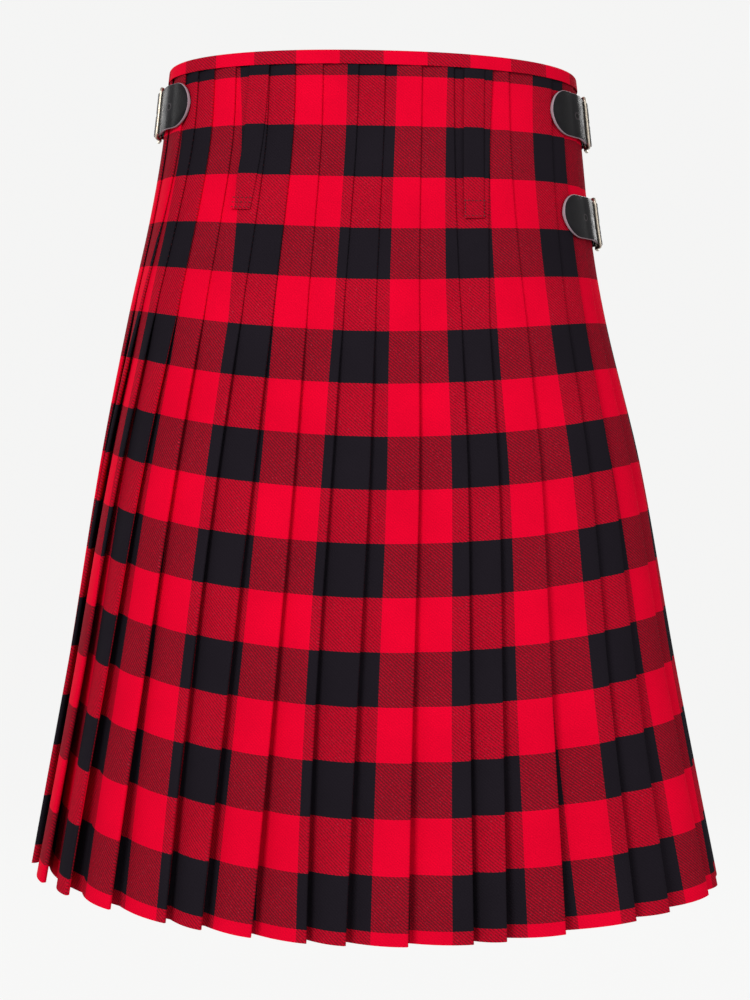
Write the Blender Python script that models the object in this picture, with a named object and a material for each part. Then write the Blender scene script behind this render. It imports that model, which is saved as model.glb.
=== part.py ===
"""A man's kilt, knife-pleated across the back, closed with three straps and buckles.

+Z is up, the kilt's back faces -Y and the wearer's right is +X. The origin is the centre of
the waist ring, at the height of the waistband's top edge. Sizes are in millimetres and are
turned into metres where a point is placed. Two numbers place a point on the kilt:

    along   how far down the cloth it lies, measured from the top edge
    turn    where it lies round the body, in hundredths of a turn: 0 is centre back,
            25 the wearer's right side, -25 the left side, 50 or -50 centre front
"""
import math
from functools import lru_cache
from typing import NamedTuple

import bmesh
import bpy
from mathutils import Vector

MM = 0.001

# Cloth
WALL = 1.0            # thickness of the cloth
SEAM = 0.3            # clearance between pieces
PITCH = 1.35          # from one pressed layer to the next
CLOTH_TOP = 1.4       # the cloth's raw edge, under the waistband
HEM = 607.0           # length down the cloth
CLOTH_ROWS = (CLOTH_TOP, 62.0, 125.0, 193.0, 260.0, 350.0, 470.0, HEM)
HANG_TILT = 0.0193    # the kilt sits a little lower on the wearer's right, mm per mm
FRONT_SAG = 0.4       # how much of the sides' lift is lost at centre front

# Pleats: stitched down from the waist to the fell, free below it
WAIST = 62.0
FELL = 193.0
HIDDEN_SHARE = 0.8    # how far a pleat runs back under its neighbour, of the neighbour's width
RETURN_SHARE = 0.4    # how much of the opening lies in front of the hidden return
CENTRE_JOIN = 10      # the two lengths of cloth are joined behind this fold

# Aprons
UNDER_DEPTH = 4.2     # the inner apron lies this far inside the outer one
OVER_EDGE_TOP = 28.4  # free edge of the outer apron, on the wearer's right
OVER_EDGE_FELL = 26.2
OVER_EDGE_HEM = 25.2
UNDER_EDGE = -31.0    # free edge of the inner apron, on the wearer's left

# Waistband: a strip folded over the top edge of every layer
BAND_HEIGHT = 9.9
BAND_WALL = 1.0
PLEATS_INNER = 5.4    # inside of the deepest pleat layer at the waist

# Straps, buckles and their keepers
STRAP_WIDTH = 34.0
STRAP_WALL = 2.2
STRAP_BASE = 75.0     # from the buckle's middle forward to the sewn end
UNDER_STRAP_BASE = 92.0   # the same, of the strap sewn to the inner apron
CHAPE_WIDTH = 32.0
CHAPE_WALL = 1.1
CHAPE_LENGTH = 30.0
BUCKLE_TURN = 24.6    # of the buckles' middle, towards either side
FRAME_HALF_LENGTH = 11.0
FRAME_BAR = 2.4
FRAME_WALL = 2.2
CENTRE_BAR = 1.4
PRONG_RADIUS = 0.75

# Belt loops
LOOP_WIDTH = 14.5
LOOP_TOP = 10.4
LOOP_END = 113.0


class Section(NamedTuple):
    along: float        # distance down the cloth at centre back
    drop: float         # height below the origin
    half_width: float
    back_depth: float
    front_depth: float
    shift: float        # of the ring's middle towards the wearer's right
    side_lift: float    # how much higher this line lies at the sides
    squareness: float   # exponent of the ring's superellipse: 2 is an ellipse


SECTIONS = (
    Section(0, 0, 147.2, 93.7, 112, -0.8, -0.8, 2.34),
    Section(60, 60, 153.2, 95.9, 114, -1.1, 3.3, 2.26),
    Section(121, 120.3, 160.8, 104.6, 118, -2.9, 8.4, 2.32),
    Section(193, 191.2, 173.5, 117.4, 125, -4.4, 13.7, 2.37),
    Section(305, 302, 195.9, 133.2, 136, -2.0, 19.4, 2.46),
    Section(455, 451, 219.6, 149.0, 150, -0.9, 24.4, 2.59),
    Section(607, 603, 246.3, 157.6, 164, 0.5, 30.1, 2.95),
)


class Fold(NamedTuple):
    waist: float        # turn of the fold edge at the waist, the fell and the hem
    fell: float
    hem: float
    bow: float          # how far it bows aside half way from the fell to the hem, in turns
    opening: float      # how far the pleat stands open at the hem


# From the wearer's left to right. The first is the outer apron's own edge.
FOLDS = (
    Fold(-21.50, -21.00, -23.60, -0.40, 6.5),
    Fold(-19.05, -18.40, -20.80, -0.60, 8.0),
    Fold(-16.75, -16.35, -18.23, -0.48, 7.0),
    Fold(-14.75, -14.25, -15.93, -0.63, 8.5),
    Fold(-12.40, -11.98, -13.16, -0.40, 9.0),
    Fold(-9.18, -9.18, -10.19, -0.34, 8.5),
    Fold(-6.77, -6.82, -8.46, -0.30, 7.0),
    Fold(-4.34, -4.38, -6.01, -0.12, 8.0),
    Fold(-1.32, -1.81, -3.35, -0.39, 7.5),
    Fold(0.94, 0.46, -1.47, -0.18, 6.5),
    Fold(4.05, 3.60, 1.55, -0.13, 7.5),
    Fold(6.94, 6.69, 4.67, -0.12, 7.0),
    Fold(10.07, 8.76, 6.28, -0.09, 6.5),
    Fold(12.01, 11.62, 9.18, -0.16, 7.5),
    Fold(16.52, 15.28, 12.81, -0.33, 7.0),
    Fold(18.34, 17.41, 14.81, -0.11, 6.5),
    Fold(20.80, 19.33, 18.30, -0.10, 7.5),
    Fold(23.10, 21.70, 20.40, -0.10, 7.0),
    Fold(25.30, 24.10, 22.90, -0.10, 6.5),
)


class Loop(NamedTuple):
    name: str
    top: float          # turn of its middle at the top and at the lower end
    end: float


LOOPS = (
    Loop("belt_loop_left", -10.00, -10.53),
    Loop("belt_loop_right", 8.95, 8.41),
)


class Fastener(NamedTuple):
    name: str
    side: int           # 1 on the wearer's right, -1 on the left
    along: float
    tip: float          # from the buckle's middle back to the strap's rounded tip


FASTENERS = (
    Fastener("left_waist", -1, 32.5, 59.0),
    Fastener("right_waist", 1, 33.5, 64.0),
    Fastener("right_hip", 1, 113.0, 67.0),
)


# ---------------------------------------------------------------- the form of the body

def section_at(along):
    """The section at a distance down the cloth, on smooth curves through the table."""
    last = len(SECTIONS) - 2
    k = 0
    while k < last and along > SECTIONS[k + 1].along:
        k += 1
    low, high = SECTIONS[k], SECTIONS[k + 1]
    before, after = SECTIONS[max(k - 1, 0)], SECTIONS[min(k + 2, len(SECTIONS) - 1)]
    span = high.along - low.along
    x = (along - low.along) / span
    values = []
    for a, b, c, d in zip(before, low, high, after):
        slope_low = (c - a) / (high.along - before.along) * span
        slope_high = (d - b) / (after.along - low.along) * span
        values.append((2 * x**3 - 3 * x**2 + 1) * b + (x**3 - 2 * x**2 + x) * slope_low
                      + (3 * x**2 - 2 * x**3) * c + (x**3 - x**2) * slope_high)
    return Section(*values)


class Ring:
    """The closed curve that the outermost cloth follows at one distance down it."""
    STEPS = 60

    def __init__(self, along):
        self.section = section_at(along)
        self.quarters = {side: self.quarter(depth) for side, depth in
                         ((-1, self.section.back_depth), (1, self.section.front_depth))}
        self.mm_per_turn = self.quarters[-1][-1][0] / 25

    def curve(self, angle, depth):
        """A point from centre back or front, at angle 0, to the side, at a right angle."""
        c, s = abs(math.cos(angle)), abs(math.sin(angle))
        power = self.section.squareness
        reach = (c**power + s**power) ** (-1 / power)
        return self.section.half_width * s * reach, depth * c * reach

    def quarter(self, depth):
        """Arc length, across and depth, from the middle round to the side."""
        length, table = 0.0, []
        previous = self.curve(0.0, depth)
        for k in range(self.STEPS + 1):
            point = self.curve(math.pi / 2 * k / self.STEPS, depth)
            length += math.dist(previous, point)
            table.append((length, *point))
            previous = point
        return table

    def on_curve(self, turn):
        """The ring's own point at a turn, before the shift."""
        turn = (turn + 50) % 100 - 50
        hand = 1 if turn >= 0 else -1
        front = abs(turn) > 25
        table = self.quarters[1 if front else -1]
        length = (50 - abs(turn) if front else abs(turn)) / 25 * table[-1][0]
        k = 1
        while k < self.STEPS and table[k][0] < length:
            k += 1
        (l0, x0, y0), (l1, x1, y1) = table[k - 1], table[k]
        share = (length - l0) / (l1 - l0)
        across, depth = x0 + (x1 - x0) * share, y0 + (y1 - y0) * share
        return hand * across, depth if front else -depth

    def place(self, turn, out):
        """The point at a turn, moved out from the ring by a distance."""
        x, y = self.on_curve(turn)
        (xa, ya), (xb, yb) = self.on_curve(turn - 0.2), self.on_curve(turn + 0.2)
        size = math.hypot(xb - xa, yb - ya)
        x += out * (yb - ya) / size + self.section.shift
        y -= out * (xb - xa) / size
        share = math.sin(math.pi * turn / 50) ** 2
        if y > 0:
            share = 1 - FRONT_SAG * (1 - share)
        lift = self.section.side_lift * share
        z = lift - self.section.drop - HANG_TILT * x
        return Vector((x, y, z)) * MM


@lru_cache(maxsize=None)
def ring_at(along):
    return Ring(along)


def on_cloth(along, turn, out):
    """A point on the flat stretch of cloth between two of its rows, moved out."""
    k = 0
    while k < len(CLOTH_ROWS) - 2 and along > CLOTH_ROWS[k + 1]:
        k += 1
    low, high = CLOTH_ROWS[k], CLOTH_ROWS[k + 1]
    upper, lower = ring_at(low).place(turn, out), ring_at(high).place(turn, out)
    return upper.lerp(lower, (along - low) / (high - low))


def smooth(x):
    x = min(max(x, 0.0), 1.0)
    return x * x * (3 - 2 * x)


# ---------------------------------------------------------------- solids

def finish(name, verts, faces, material):
    mesh = bpy.data.meshes.new(name)
    bm = bmesh.new()
    made = [bm.verts.new(v) for v in verts]
    for face in faces:
        bm.faces.new([made[k] for k in face])
    for vert in [v for v in bm.verts if not v.link_faces]:
        bm.verts.remove(vert)
    bmesh.ops.recalc_face_normals(bm, faces=bm.faces)
    bm.to_mesh(mesh)
    bm.free()
    mesh.materials.append(material)
    mesh.shade_smooth()
    mesh.set_sharp_from_angle(angle=math.radians(40))
    bpy.context.collection.objects.link(bpy.data.objects.new(name, mesh))


def wall(name, outer, inner, material, cut=()):
    """A closed wall between two grids of points, without the cells listed in cut."""
    rows, columns = len(outer), len(outer[0])
    verts = [p for grid in (outer, inner) for row in grid for p in row]
    size = rows * columns
    kept = {(i, j) for i in range(rows - 1) for j in range(columns - 1)} - set(cut)
    faces = []
    for i, j in sorted(kept):
        a = i * columns + j
        corners = (a, a + 1, a + columns + 1, a + columns)
        faces.append(corners)
        faces.append([c + size for c in reversed(corners)])
        neighbours = ((i - 1, j), (i, j + 1), (i + 1, j), (i, j - 1))
        for k, beside in enumerate(neighbours):
            if beside not in kept:
                b, c = corners[k], corners[(k + 1) % 4]
                faces.append((c, b, b + size, c + size))
    finish(name, verts, faces, material)


def tube(name, path, radius, material, sides=8):
    """A round bar along a path that lies in one plane, with flat ends."""
    plane = (path[1] - path[0]).cross(path[-1] - path[0]).normalized()
    verts, faces = [], []
    for k, point in enumerate(path):
        along = (path[min(k + 1, len(path) - 1)] - path[max(k - 1, 0)]).normalized()
        up = plane.cross(along)
        for n in range(sides):
            angle = 2 * math.pi * n / sides
            verts.append(point + (plane * math.cos(angle) + up * math.sin(angle)) * radius)
    for k in range(len(path) - 1):
        for n in range(sides):
            a, b = k * sides + n, k * sides + (n + 1) % sides
            faces.append((a, b, b + sides, a + sides))
    faces.append(range(sides))
    faces.append(range(len(verts) - sides, len(verts)))
    finish(name, verts, faces, material)


def offset_line(line, distance):
    """The line of (across, out) points moved to one side, its corners mitred."""
    moved = []
    for k, (x, y) in enumerate(line):
        normals = []
        for a, b in ((k - 1, k), (k, k + 1)):
            if a >= 0 and b < len(line):
                dx, dy = line[b][0] - line[a][0], line[b][1] - line[a][1]
                size = math.hypot(dx, dy)
                normals.append((-dy / size, dx / size))
        (ax, ay), (bx, by) = normals[0], normals[-1]
        scale = distance / (1 + ax * bx + ay * by)
        moved.append((x + (ax + bx) * scale, y + (ay + by) * scale))
    return moved


# ---------------------------------------------------------------- pleats and aprons

def fold_turn(number, along):
    """Turn of a fold's edge, counted from 1, at a distance down the cloth."""
    fold = FOLDS[number - 1]
    if along < FELL:
        share = (along - WAIST) / (FELL - WAIST)
        return fold.waist + (fold.fell - fold.waist) * share
    share = (along - FELL) / (HEM - FELL)
    return fold.fell + (fold.hem - fold.fell) * share + fold.bow * 4 * share * (1 - share)


def fold_mm(number, along):
    return fold_turn(number, along) * ring_at(along).mm_per_turn


def face_width(number, along):
    """How much of a pleat shows. The first pleat's is the apron, so it takes its neighbour's."""
    number = max(number, 2)
    return fold_mm(number, along) - fold_mm(number - 1, along)


def opening(number, along):
    if number > len(FOLDS):
        number = len(FOLDS)
    return FOLDS[number - 1].opening * smooth((along - FELL) / (HEM - FELL) * 0.5) * 2


def face_out(number, across, along):
    """Where a pleat's face lies, measured out from the ring, at a distance across in mm."""
    if number == 1:
        return 0.0
    share = (fold_mm(number, along) - across) / face_width(number, along)
    return -(2 * PITCH + opening(number, along)) * share


def hidden_end(number, along):
    """Where the cloth turns back behind a fold."""
    return fold_mm(number, along) - HIDDEN_SHARE * face_width(number, along)


def behind(number, across, along, layer):
    """The return, layer 1, or the next pleat's start, layer 2, behind a fold."""
    start = hidden_end(number, along)
    share = (across - start) / (fold_mm(number, along) - start)
    gap = opening(number + 1, along) * share * (RETURN_SHARE if layer == 1 else 1)
    return face_out(number, across, along) - layer * PITCH - gap


def start_of_pleat(number, along):
    """From the turn behind the last fold to the place where this pleat comes into sight."""
    before = number - 1
    start, edge = hidden_end(before, along), fold_mm(before, along)
    line = [start + PITCH / 2, (start + edge) / 2, edge]
    return [(across, behind(before, across, along, 2)) for across in line]


def end_of_pleat(number, along):
    """The fold's edge and the return behind it."""
    edge, end = fold_mm(number, along), hidden_end(number, along) + PITCH / 2
    depth = PITCH + opening(number + 1, along) * RETURN_SHARE
    round_off = PITCH / 2
    line = [(edge - round_off, face_out(number, edge - round_off, along)), (edge, -depth / 2)]
    for across in (edge - round_off, (edge + end) / 2, end):
        line.append((across, behind(number, across, along, 1)))
    return line


def pleat_line(first, last, along):
    """Across and out, in mm, of the cloth's middle through a run of pleats."""
    line = []
    for number in range(first, last + 1):
        line += start_of_pleat(number, along)
        middle = fold_mm(number, along) - face_width(number, along) / 2
        line.append((middle, face_out(number, middle, along)))
        line += end_of_pleat(number, along)
        if number < last:
            turn_back = hidden_end(number, along)
            line.append((turn_back, face_out(number, turn_back, along) - 1.5 * PITCH))
    return line


def cloth(name, line_at, alongs, material, cut=()):
    """A panel of cloth from its middle line at each distance down."""
    grids = []
    for side in (WALL / 2, -WALL / 2):
        rows = []
        for along in alongs:
            ring = ring_at(along)
            moved = offset_line(line_at(along), side)
            rows.append([on_cloth(along, across / ring.mm_per_turn, out) for across, out in moved])
        grids.append(rows)
    wall(name, *grids, material, cut)


def spaced(start, end, count):
    return [start + (end - start) * k / count for k in range(count + 1)]


# The aprons' columns round the front, and those near their folds, in turns from the fold
FRONT_COLUMNS = 18
BEFORE_FOLD = (-14.6, -13.0, -11.6, -10.2, -8.8, -7.3, -6.1, -4.9, -3.7, -2.5, -1.0)
PAST_FOLD = (0.4, 0.8, 1.6, 2.4)
COLUMN_GAP = 3.0                   # least room between the front's columns and those
BAND_STEP = (-3.7, -2.5)           # between these the waistband steps in over the pleats
SLIT_COLUMN = -7.3                 # the inner apron's strap comes out through a slit here
SLIT_ROWS = (14.0, 51.0)           # its upper and lower end, down the cloth


def over_edge(along):
    if along < FELL:
        return OVER_EDGE_TOP + (OVER_EDGE_FELL - OVER_EDGE_TOP) * smooth(along / FELL)
    return OVER_EDGE_FELL + (OVER_EDGE_HEM - OVER_EDGE_FELL) * (along - FELL) / (HEM - FELL)


def over_turns(along):
    """From the free edge on the wearer's right, round the front, to the first fold."""
    fold = fold_turn(1, along)
    start = over_edge(along) - 100
    end = fold + BEFORE_FOLD[0] - COLUMN_GAP
    return spaced(start, end, FRONT_COLUMNS) + [fold + turn for turn in BEFORE_FOLD]


def under_turns(along):
    """From the last fold, round the front, to the free edge on the wearer's left."""
    fold = fold_turn(len(FOLDS), along)
    start = fold + PAST_FOLD[-1] + COLUMN_GAP
    return [fold + turn for turn in PAST_FOLD] + spaced(start, UNDER_EDGE + 100, FRONT_COLUMNS)


def under_out(turn, along):
    """The inner apron comes out from behind the last fold and sinks to its own depth."""
    last = len(FOLDS)
    start = behind(last, fold_mm(last, along), along, 2)
    share = smooth((turn - fold_turn(last, along)) / PAST_FOLD[-1])
    return start + (-UNDER_DEPTH - start) * share


def over_apron_line(along):
    mm_per_turn = ring_at(along).mm_per_turn
    return [(turn * mm_per_turn, 0.0) for turn in over_turns(along)] + end_of_pleat(1, along)


def under_apron_line(along):
    mm_per_turn = ring_at(along).mm_per_turn
    front = [(turn * mm_per_turn, under_out(turn, along)) for turn in under_turns(along)]
    return start_of_pleat(len(FOLDS) + 1, along) + front


def make_cloth(material):
    cloth("pleats_left", lambda along: pleat_line(2, CENTRE_JOIN, along), CLOTH_ROWS, material)
    cloth("pleats_right", lambda along: pleat_line(CENTRE_JOIN + 1, len(FOLDS), along),
          CLOTH_ROWS, material)
    cloth("under_apron", under_apron_line, CLOTH_ROWS, material)
    alongs = (CLOTH_TOP, *SLIT_ROWS, *CLOTH_ROWS[1:])
    column = len(over_turns(FELL)) - len(BEFORE_FOLD) + BEFORE_FOLD.index(SLIT_COLUMN)
    cloth("over_apron", over_apron_line, alongs, material, cut=[(1, column)])


# ---------------------------------------------------------------- waistband

def band_reach(turn):
    """How far out the outer leg and how far in the inner leg reach, before their thickness.

    The band runs from the outer apron's free edge, round the front, the left side and the
    back, and on round the front again as the inner apron's band.
    """
    clear = WALL / 2 + SEAM
    first, last = fold_turn(1, CLOTH_TOP), fold_turn(len(FOLDS), CLOTH_TOP)
    outer = clear + under_out(turn, CLOTH_TOP) * smooth((turn - last) / PAST_FOLD[1])
    over_pleats = smooth((turn - first - BAND_STEP[0]) / (BAND_STEP[1] - BAND_STEP[0]))
    inner = clear + over_pleats * (PLEATS_INNER + SEAM - clear)
    return outer, inner


def make_waistband(material):
    over_pleats = spaced(fold_turn(1, CLOTH_TOP), fold_turn(len(FOLDS), CLOTH_TOP), 50)
    turns = over_turns(CLOTH_TOP) + over_pleats + under_turns(CLOTH_TOP)
    skin = [[] for _ in range(4)]
    lining = [[] for _ in range(4)]
    for turn in turns:
        outer, inner = band_reach(turn)
        for row, (along, out) in enumerate(((BAND_HEIGHT, outer + BAND_WALL),
                                            (0.0, outer + BAND_WALL),
                                            (0.0, -inner - BAND_WALL),
                                            (BAND_HEIGHT, -inner - BAND_WALL))):
            skin[row].append(on_cloth(along, turn, out))
        for row, (along, out) in enumerate(((BAND_HEIGHT, outer), (BAND_WALL, outer),
                                            (BAND_WALL, -inner), (BAND_HEIGHT, -inner))):
            lining[row].append(on_cloth(along, turn, out))
    wall("waistband", skin, lining, material)


# ---------------------------------------------------------------- belt loops

def make_belt_loops(material):
    """Narrow strips over the stitched pleats, a little slack between their sewn ends."""
    slack = 0.9
    for loop in LOOPS:
        grids = []
        for level in (WALL / 2 + SEAM + WALL, WALL / 2 + SEAM):
            rows = []
            for along in spaced(LOOP_TOP, LOOP_END, 9):
                share = (along - LOOP_TOP) / (LOOP_END - LOOP_TOP)
                middle = loop.top + (loop.end - loop.top) * share
                half = LOOP_WIDTH / 2 / ring_at(WAIST).mm_per_turn
                out = level + slack * math.sin(math.pi * share) ** 2
                rows.append([on_cloth(along, middle + half * hand, out) for hand in (-1, 0, 1)])
            grids.append(rows)
        wall(loop.name, *grids, material)


# ---------------------------------------------------------------- straps and buckles

def on_fastener(fastener):
    """A function placing (forward, up, out) in mm from the buckle's middle."""
    mm_per_turn = ring_at(fastener.along).mm_per_turn

    def place(forward, up, out):
        turn = fastener.side * (BUCKLE_TURN + forward / mm_per_turn)
        return on_cloth(fastener.along - up, turn, out)
    return place


def strip(name, place, line, widths, thickness, material, cut=()):
    """A leather strip: line is (forward, out) of its middle, widths its half width at each."""
    grids = []
    for side in (thickness / 2, -thickness / 2):
        moved = offset_line(line, side)
        rows = [[], [], [], []]
        for (forward, out), (half, slot) in zip(moved, widths):
            for row, up in enumerate((-half, -slot, slot, half)):
                rows[row].append(place(forward, up, out))
        grids.append(rows)
    wall(name, *grids, material, cut)


REST_OUT = WALL / 2 + SEAM + STRAP_WALL / 2            # a strap lying on the cloth
ON_CHAPE = REST_OUT + CHAPE_WALL + SEAM                # a strap lying on the chape
CENTRE_OUT = 3.4                                       # the buckle's centre bar
ROLL = CENTRE_OUT - WALL / 2 - SEAM                    # outside radius of the rolled chape
OVER_ROLL = CENTRE_OUT + ROLL + SEAM + STRAP_WALL / 2
OUTER_BAR_OUT = ON_CHAPE + STRAP_WALL / 2 + SEAM + FRAME_WALL / 2
HOLE_SLOT = 1.6                                        # half width of a strap's hole
HOLE_START, HOLE_END = -3.5, 6.0                       # of the hole that the prong goes through
THROUGH_SLIT = 34.5                                    # past here it lies between the aprons
UNDER_OUT = -(UNDER_DEPTH - WALL / 2 - SEAM - STRAP_WALL / 2)


class Bend(NamedTuple):
    forward: float      # from the buckle's middle towards the kilt's front
    out: float          # how far the strap's middle lies out from the ring


# The strap climbs onto the chape, goes under the back bar, over the centre bar and its roll,
# and under the front bar, where it lies on the cloth again
STRAP_BENDS = (
    Bend(-40.0, REST_OUT),
    Bend(-33.0, ON_CHAPE),
    Bend(-27.0, ON_CHAPE),
    Bend(-21.0, ON_CHAPE),
    Bend(-15.0, ON_CHAPE),
    Bend(-9.5, ON_CHAPE),
    Bend(HOLE_START, OVER_ROLL - 0.4),
    Bend(0.0, OVER_ROLL),
    Bend(2.4, OVER_ROLL - 0.5),
    Bend(HOLE_END, 4.6),
    Bend(9.2, REST_OUT),
    Bend(17.0, REST_OUT),
    Bend(25.5, REST_OUT),
)


def strap_line(fastener):
    """From the rounded tip, through the buckle, to the sewn end."""
    radius = STRAP_WIDTH / 2
    tip = [radius * (1 - math.cos(math.pi / 2 * k / 5)) - fastener.tip for k in range(6)]
    start = STRAP_BENDS[-1].forward
    if fastener.side > 0:
        sewn = [(forward, REST_OUT) for forward in spaced(start, STRAP_BASE, 4)[1:]]
    else:
        sewn = [(forward, UNDER_OUT) for forward in spaced(THROUGH_SLIT, UNDER_STRAP_BASE, 4)]
    return [(forward, REST_OUT) for forward in tip] + list(STRAP_BENDS) + sewn


def strap_widths(fastener, line):
    """Half width of the strap and of its slot at each point of its line."""
    widths = []
    radius = STRAP_WIDTH / 2
    for forward, _ in line:
        from_tip = min(max(forward + fastener.tip, 0.0), radius)
        half = max(math.sqrt(radius**2 - (radius - from_tip) ** 2), 1.2)
        widths.append((half, min(HOLE_SLOT, half * 0.4)))
    return widths


def chape_line():
    """Flat on the cloth, then rolled round the centre bar."""
    flat = WALL / 2 + SEAM + CHAPE_WALL / 2
    radius = ROLL - CHAPE_WALL / 2
    line = [(forward, flat) for forward in spaced(-CHAPE_LENGTH, -2.0, 5)]
    for degrees in range(-90, 181, 30):
        angle = math.radians(degrees)
        line.append((radius * math.cos(angle), CENTRE_OUT + radius * math.sin(angle)))
    return line


def make_frame(fastener, place, material):
    """An oblong frame with a lower centre bar, as one plate with two windows."""
    reach, half_bar = FRAME_HALF_LENGTH, FRAME_BAR / 2
    columns = ((-reach - half_bar, 1), (-reach + half_bar, 1), (-CENTRE_BAR / 2, 0),
               (CENTRE_BAR / 2, 0), (reach - half_bar, 1), (reach + half_bar, 1))
    inside = STRAP_WIDTH / 2 + 1
    ups = (-inside - FRAME_BAR, -inside, 0.0, inside, inside + FRAME_BAR)
    grids = []
    for side in (1, -1):
        rows = []
        for up in ups:
            row = []
            for forward, raised in columns:
                out = OUTER_BAR_OUT if raised else CENTRE_OUT
                thickness = FRAME_WALL if raised else CENTRE_BAR
                row.append(place(forward, up, out + side * thickness / 2))
            rows.append(row)
        grids.append(rows)
    windows = [(row, column) for row in (1, 2) for column in (1, 3)]
    wall("buckle_" + fastener.name, *grids, material, windows)


def make_prong(fastener, place, material):
    """Hooked over the centre bar, through the strap, and resting on the front bar."""
    hook = CENTRE_BAR * math.sqrt(0.5) + SEAM + PRONG_RADIUS
    rest = OUTER_BAR_OUT + FRAME_WALL / 2 + SEAM + PRONG_RADIUS
    line = [(hook * math.cos(math.radians(d)), CENTRE_OUT + hook * math.sin(math.radians(d)))
            for d in (180, 145, 110)]
    line += [(HOLE_END, rest - 0.7), (FRAME_HALF_LENGTH, rest), (FRAME_HALF_LENGTH + 1.5, rest)]
    path = [place(forward, 0.0, out) for forward, out in line]
    tube("prong_" + fastener.name, path, PRONG_RADIUS * MM, material)


def make_fasteners(leather, metal):
    for fastener in FASTENERS:
        place = on_fastener(fastener)
        line = strap_line(fastener)
        hole = [(1, k) for k, (forward, _) in enumerate(line) if HOLE_START <= forward < HOLE_END]
        widths = strap_widths(fastener, line)
        strip("strap_" + fastener.name, place, line, widths, STRAP_WALL, leather, hole)
        line = chape_line()
        rolled = [(1, k) for k in range(5, len(line) - 1)]
        widths = [(CHAPE_WIDTH / 2, HOLE_SLOT)] * len(line)
        strip("chape_" + fastener.name, place, line, widths, CHAPE_WALL, leather, rolled)
        make_frame(fastener, place, metal)
        make_prong(fastener, place, metal)


# ---------------------------------------------------------------- materials and the whole

def material(name, colour, roughness, metallic=0.0):
    made = bpy.data.materials.new(name)
    made.use_nodes = True
    shader = made.node_tree.nodes["Principled BSDF"]
    shader.inputs["Base Color"].default_value = (*colour, 1.0)
    shader.inputs["Roughness"].default_value = roughness
    shader.inputs["Metallic"].default_value = metallic
    made.diffuse_color = (*colour, 1.0)
    return made


def main():
    for old in list(bpy.data.objects):
        bpy.data.objects.remove(old)
    check_cloth = material("check_cloth", (0.45, 0.006, 0.018), 0.85)
    band_cloth = material("band_cloth", (0.62, 0.006, 0.022), 0.85)
    black_leather = material("black_leather", (0.016, 0.016, 0.018), 0.38)
    buckle_metal = material("buckle_metal", (0.72, 0.66, 0.55), 0.25, 1.0)
    make_cloth(check_cloth)
    make_waistband(band_cloth)
    make_belt_loops(band_cloth)
    make_fasteners(black_leather, buckle_metal)


main()
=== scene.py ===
"""A man's kilt: twill cloth, waistband, belt loops, stitches, straps, buckles and a plain studio.

+Z is up, the pleated back faces -Y and the wearer's right is +X. Lengths in the tables are in
millimetres. Two numbers place a point on the kilt: along, how far down the cloth it lies from the
top edge, and turn, where it lies round the body in hundredths of a turn: 0 is centre back, 25 the
wearer's right side, -25 the left side, 50 or -50 centre front. A third, out, is how far it lies
outside the ring that the outermost cloth follows.
"""
import math
from functools import lru_cache
from typing import NamedTuple

import bmesh
import bpy
import numpy as np
from bpy.props import FloatProperty, FloatVectorProperty, IntProperty, PointerProperty
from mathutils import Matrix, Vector


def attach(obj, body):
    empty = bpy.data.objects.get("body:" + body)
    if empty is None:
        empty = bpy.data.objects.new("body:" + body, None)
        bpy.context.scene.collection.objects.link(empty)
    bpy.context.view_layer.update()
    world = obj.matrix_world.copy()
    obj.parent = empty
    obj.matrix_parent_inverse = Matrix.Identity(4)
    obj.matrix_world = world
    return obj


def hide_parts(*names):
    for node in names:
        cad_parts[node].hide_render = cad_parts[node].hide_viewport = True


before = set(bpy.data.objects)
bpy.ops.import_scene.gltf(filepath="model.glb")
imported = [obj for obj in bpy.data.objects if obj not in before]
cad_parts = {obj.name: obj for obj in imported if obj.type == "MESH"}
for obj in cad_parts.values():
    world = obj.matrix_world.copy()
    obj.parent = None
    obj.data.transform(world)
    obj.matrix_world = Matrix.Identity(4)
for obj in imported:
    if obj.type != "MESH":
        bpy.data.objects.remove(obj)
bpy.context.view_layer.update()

bl_info = {
    "name": "Knife-pleated kilt",
    "version": (1, 0, 0),
    "blender": (4, 5, 0),
    "location": "3D View > Sidebar > Kilt",
    "description": "Builds a pleated check kilt with buckled leather straps",
    "category": "Add Mesh",
}

MM = 0.001
SIDE, FRONT, WHOLE = 25, 50, 100  # turns from centre back, and all the way round

# Cloth
CLOTH_TOP = 1.4  # the cloth's raw edge, under the waistband
HEM = 607.0  # length down the cloth
WAIST = 62.0  # the folds' places are given from here down
FELL = 193.0  # the pleats are stitched down to here
PITCH = 1.35  # from one pressed layer to the next
SEWN_PITCH = 1.0  # the same where the pleats are stitched down
HANG_TILT = 0.0193  # the kilt sits a little lower on the wearer's right, mm per mm
FRONT_SAG = 0.4  # how much of the sides' lift is lost at centre front
HIDDEN_SHARE = 0.8  # how far a pleat runs back under its neighbour, of the neighbour's width
EARLY_OPENING = 0.2  # share of a pleat's opening that it has just below the fell
EARLY_RUN = (15, 60)  # it comes in from this far above the fell, over this length
PITCH_RUN = (20, 80)  # and so does the wider pitch
SWAY_RUN = (0, 200)  # and the wave in the faces
RETURN_SHARE = 0.1  # how much of the opening lies in front of the hidden return
CROWN = (0.2, 0.9)  # how far a face swells out at the fell, and how much more at the hem
SWAY = 0.35  # how far it waves in and out below that
SWAY_LENGTH = 47  # mm down the cloth for each radian of the wave
SWAY_SHIFT = 1.9  # radians from one pleat to the next
FACE_POWER = 1.6  # how late a face bends back towards the pleat before it
CENTRE_JOIN = 10  # the two lengths of cloth are joined behind this fold
UNDER_DEPTH = 4.2  # the inner apron lies this far inside the outer one
OVER_EDGE_TOP = 28.4  # free edge of the outer apron, on the wearer's right
OVER_EDGE_FELL = 26.2
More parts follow.
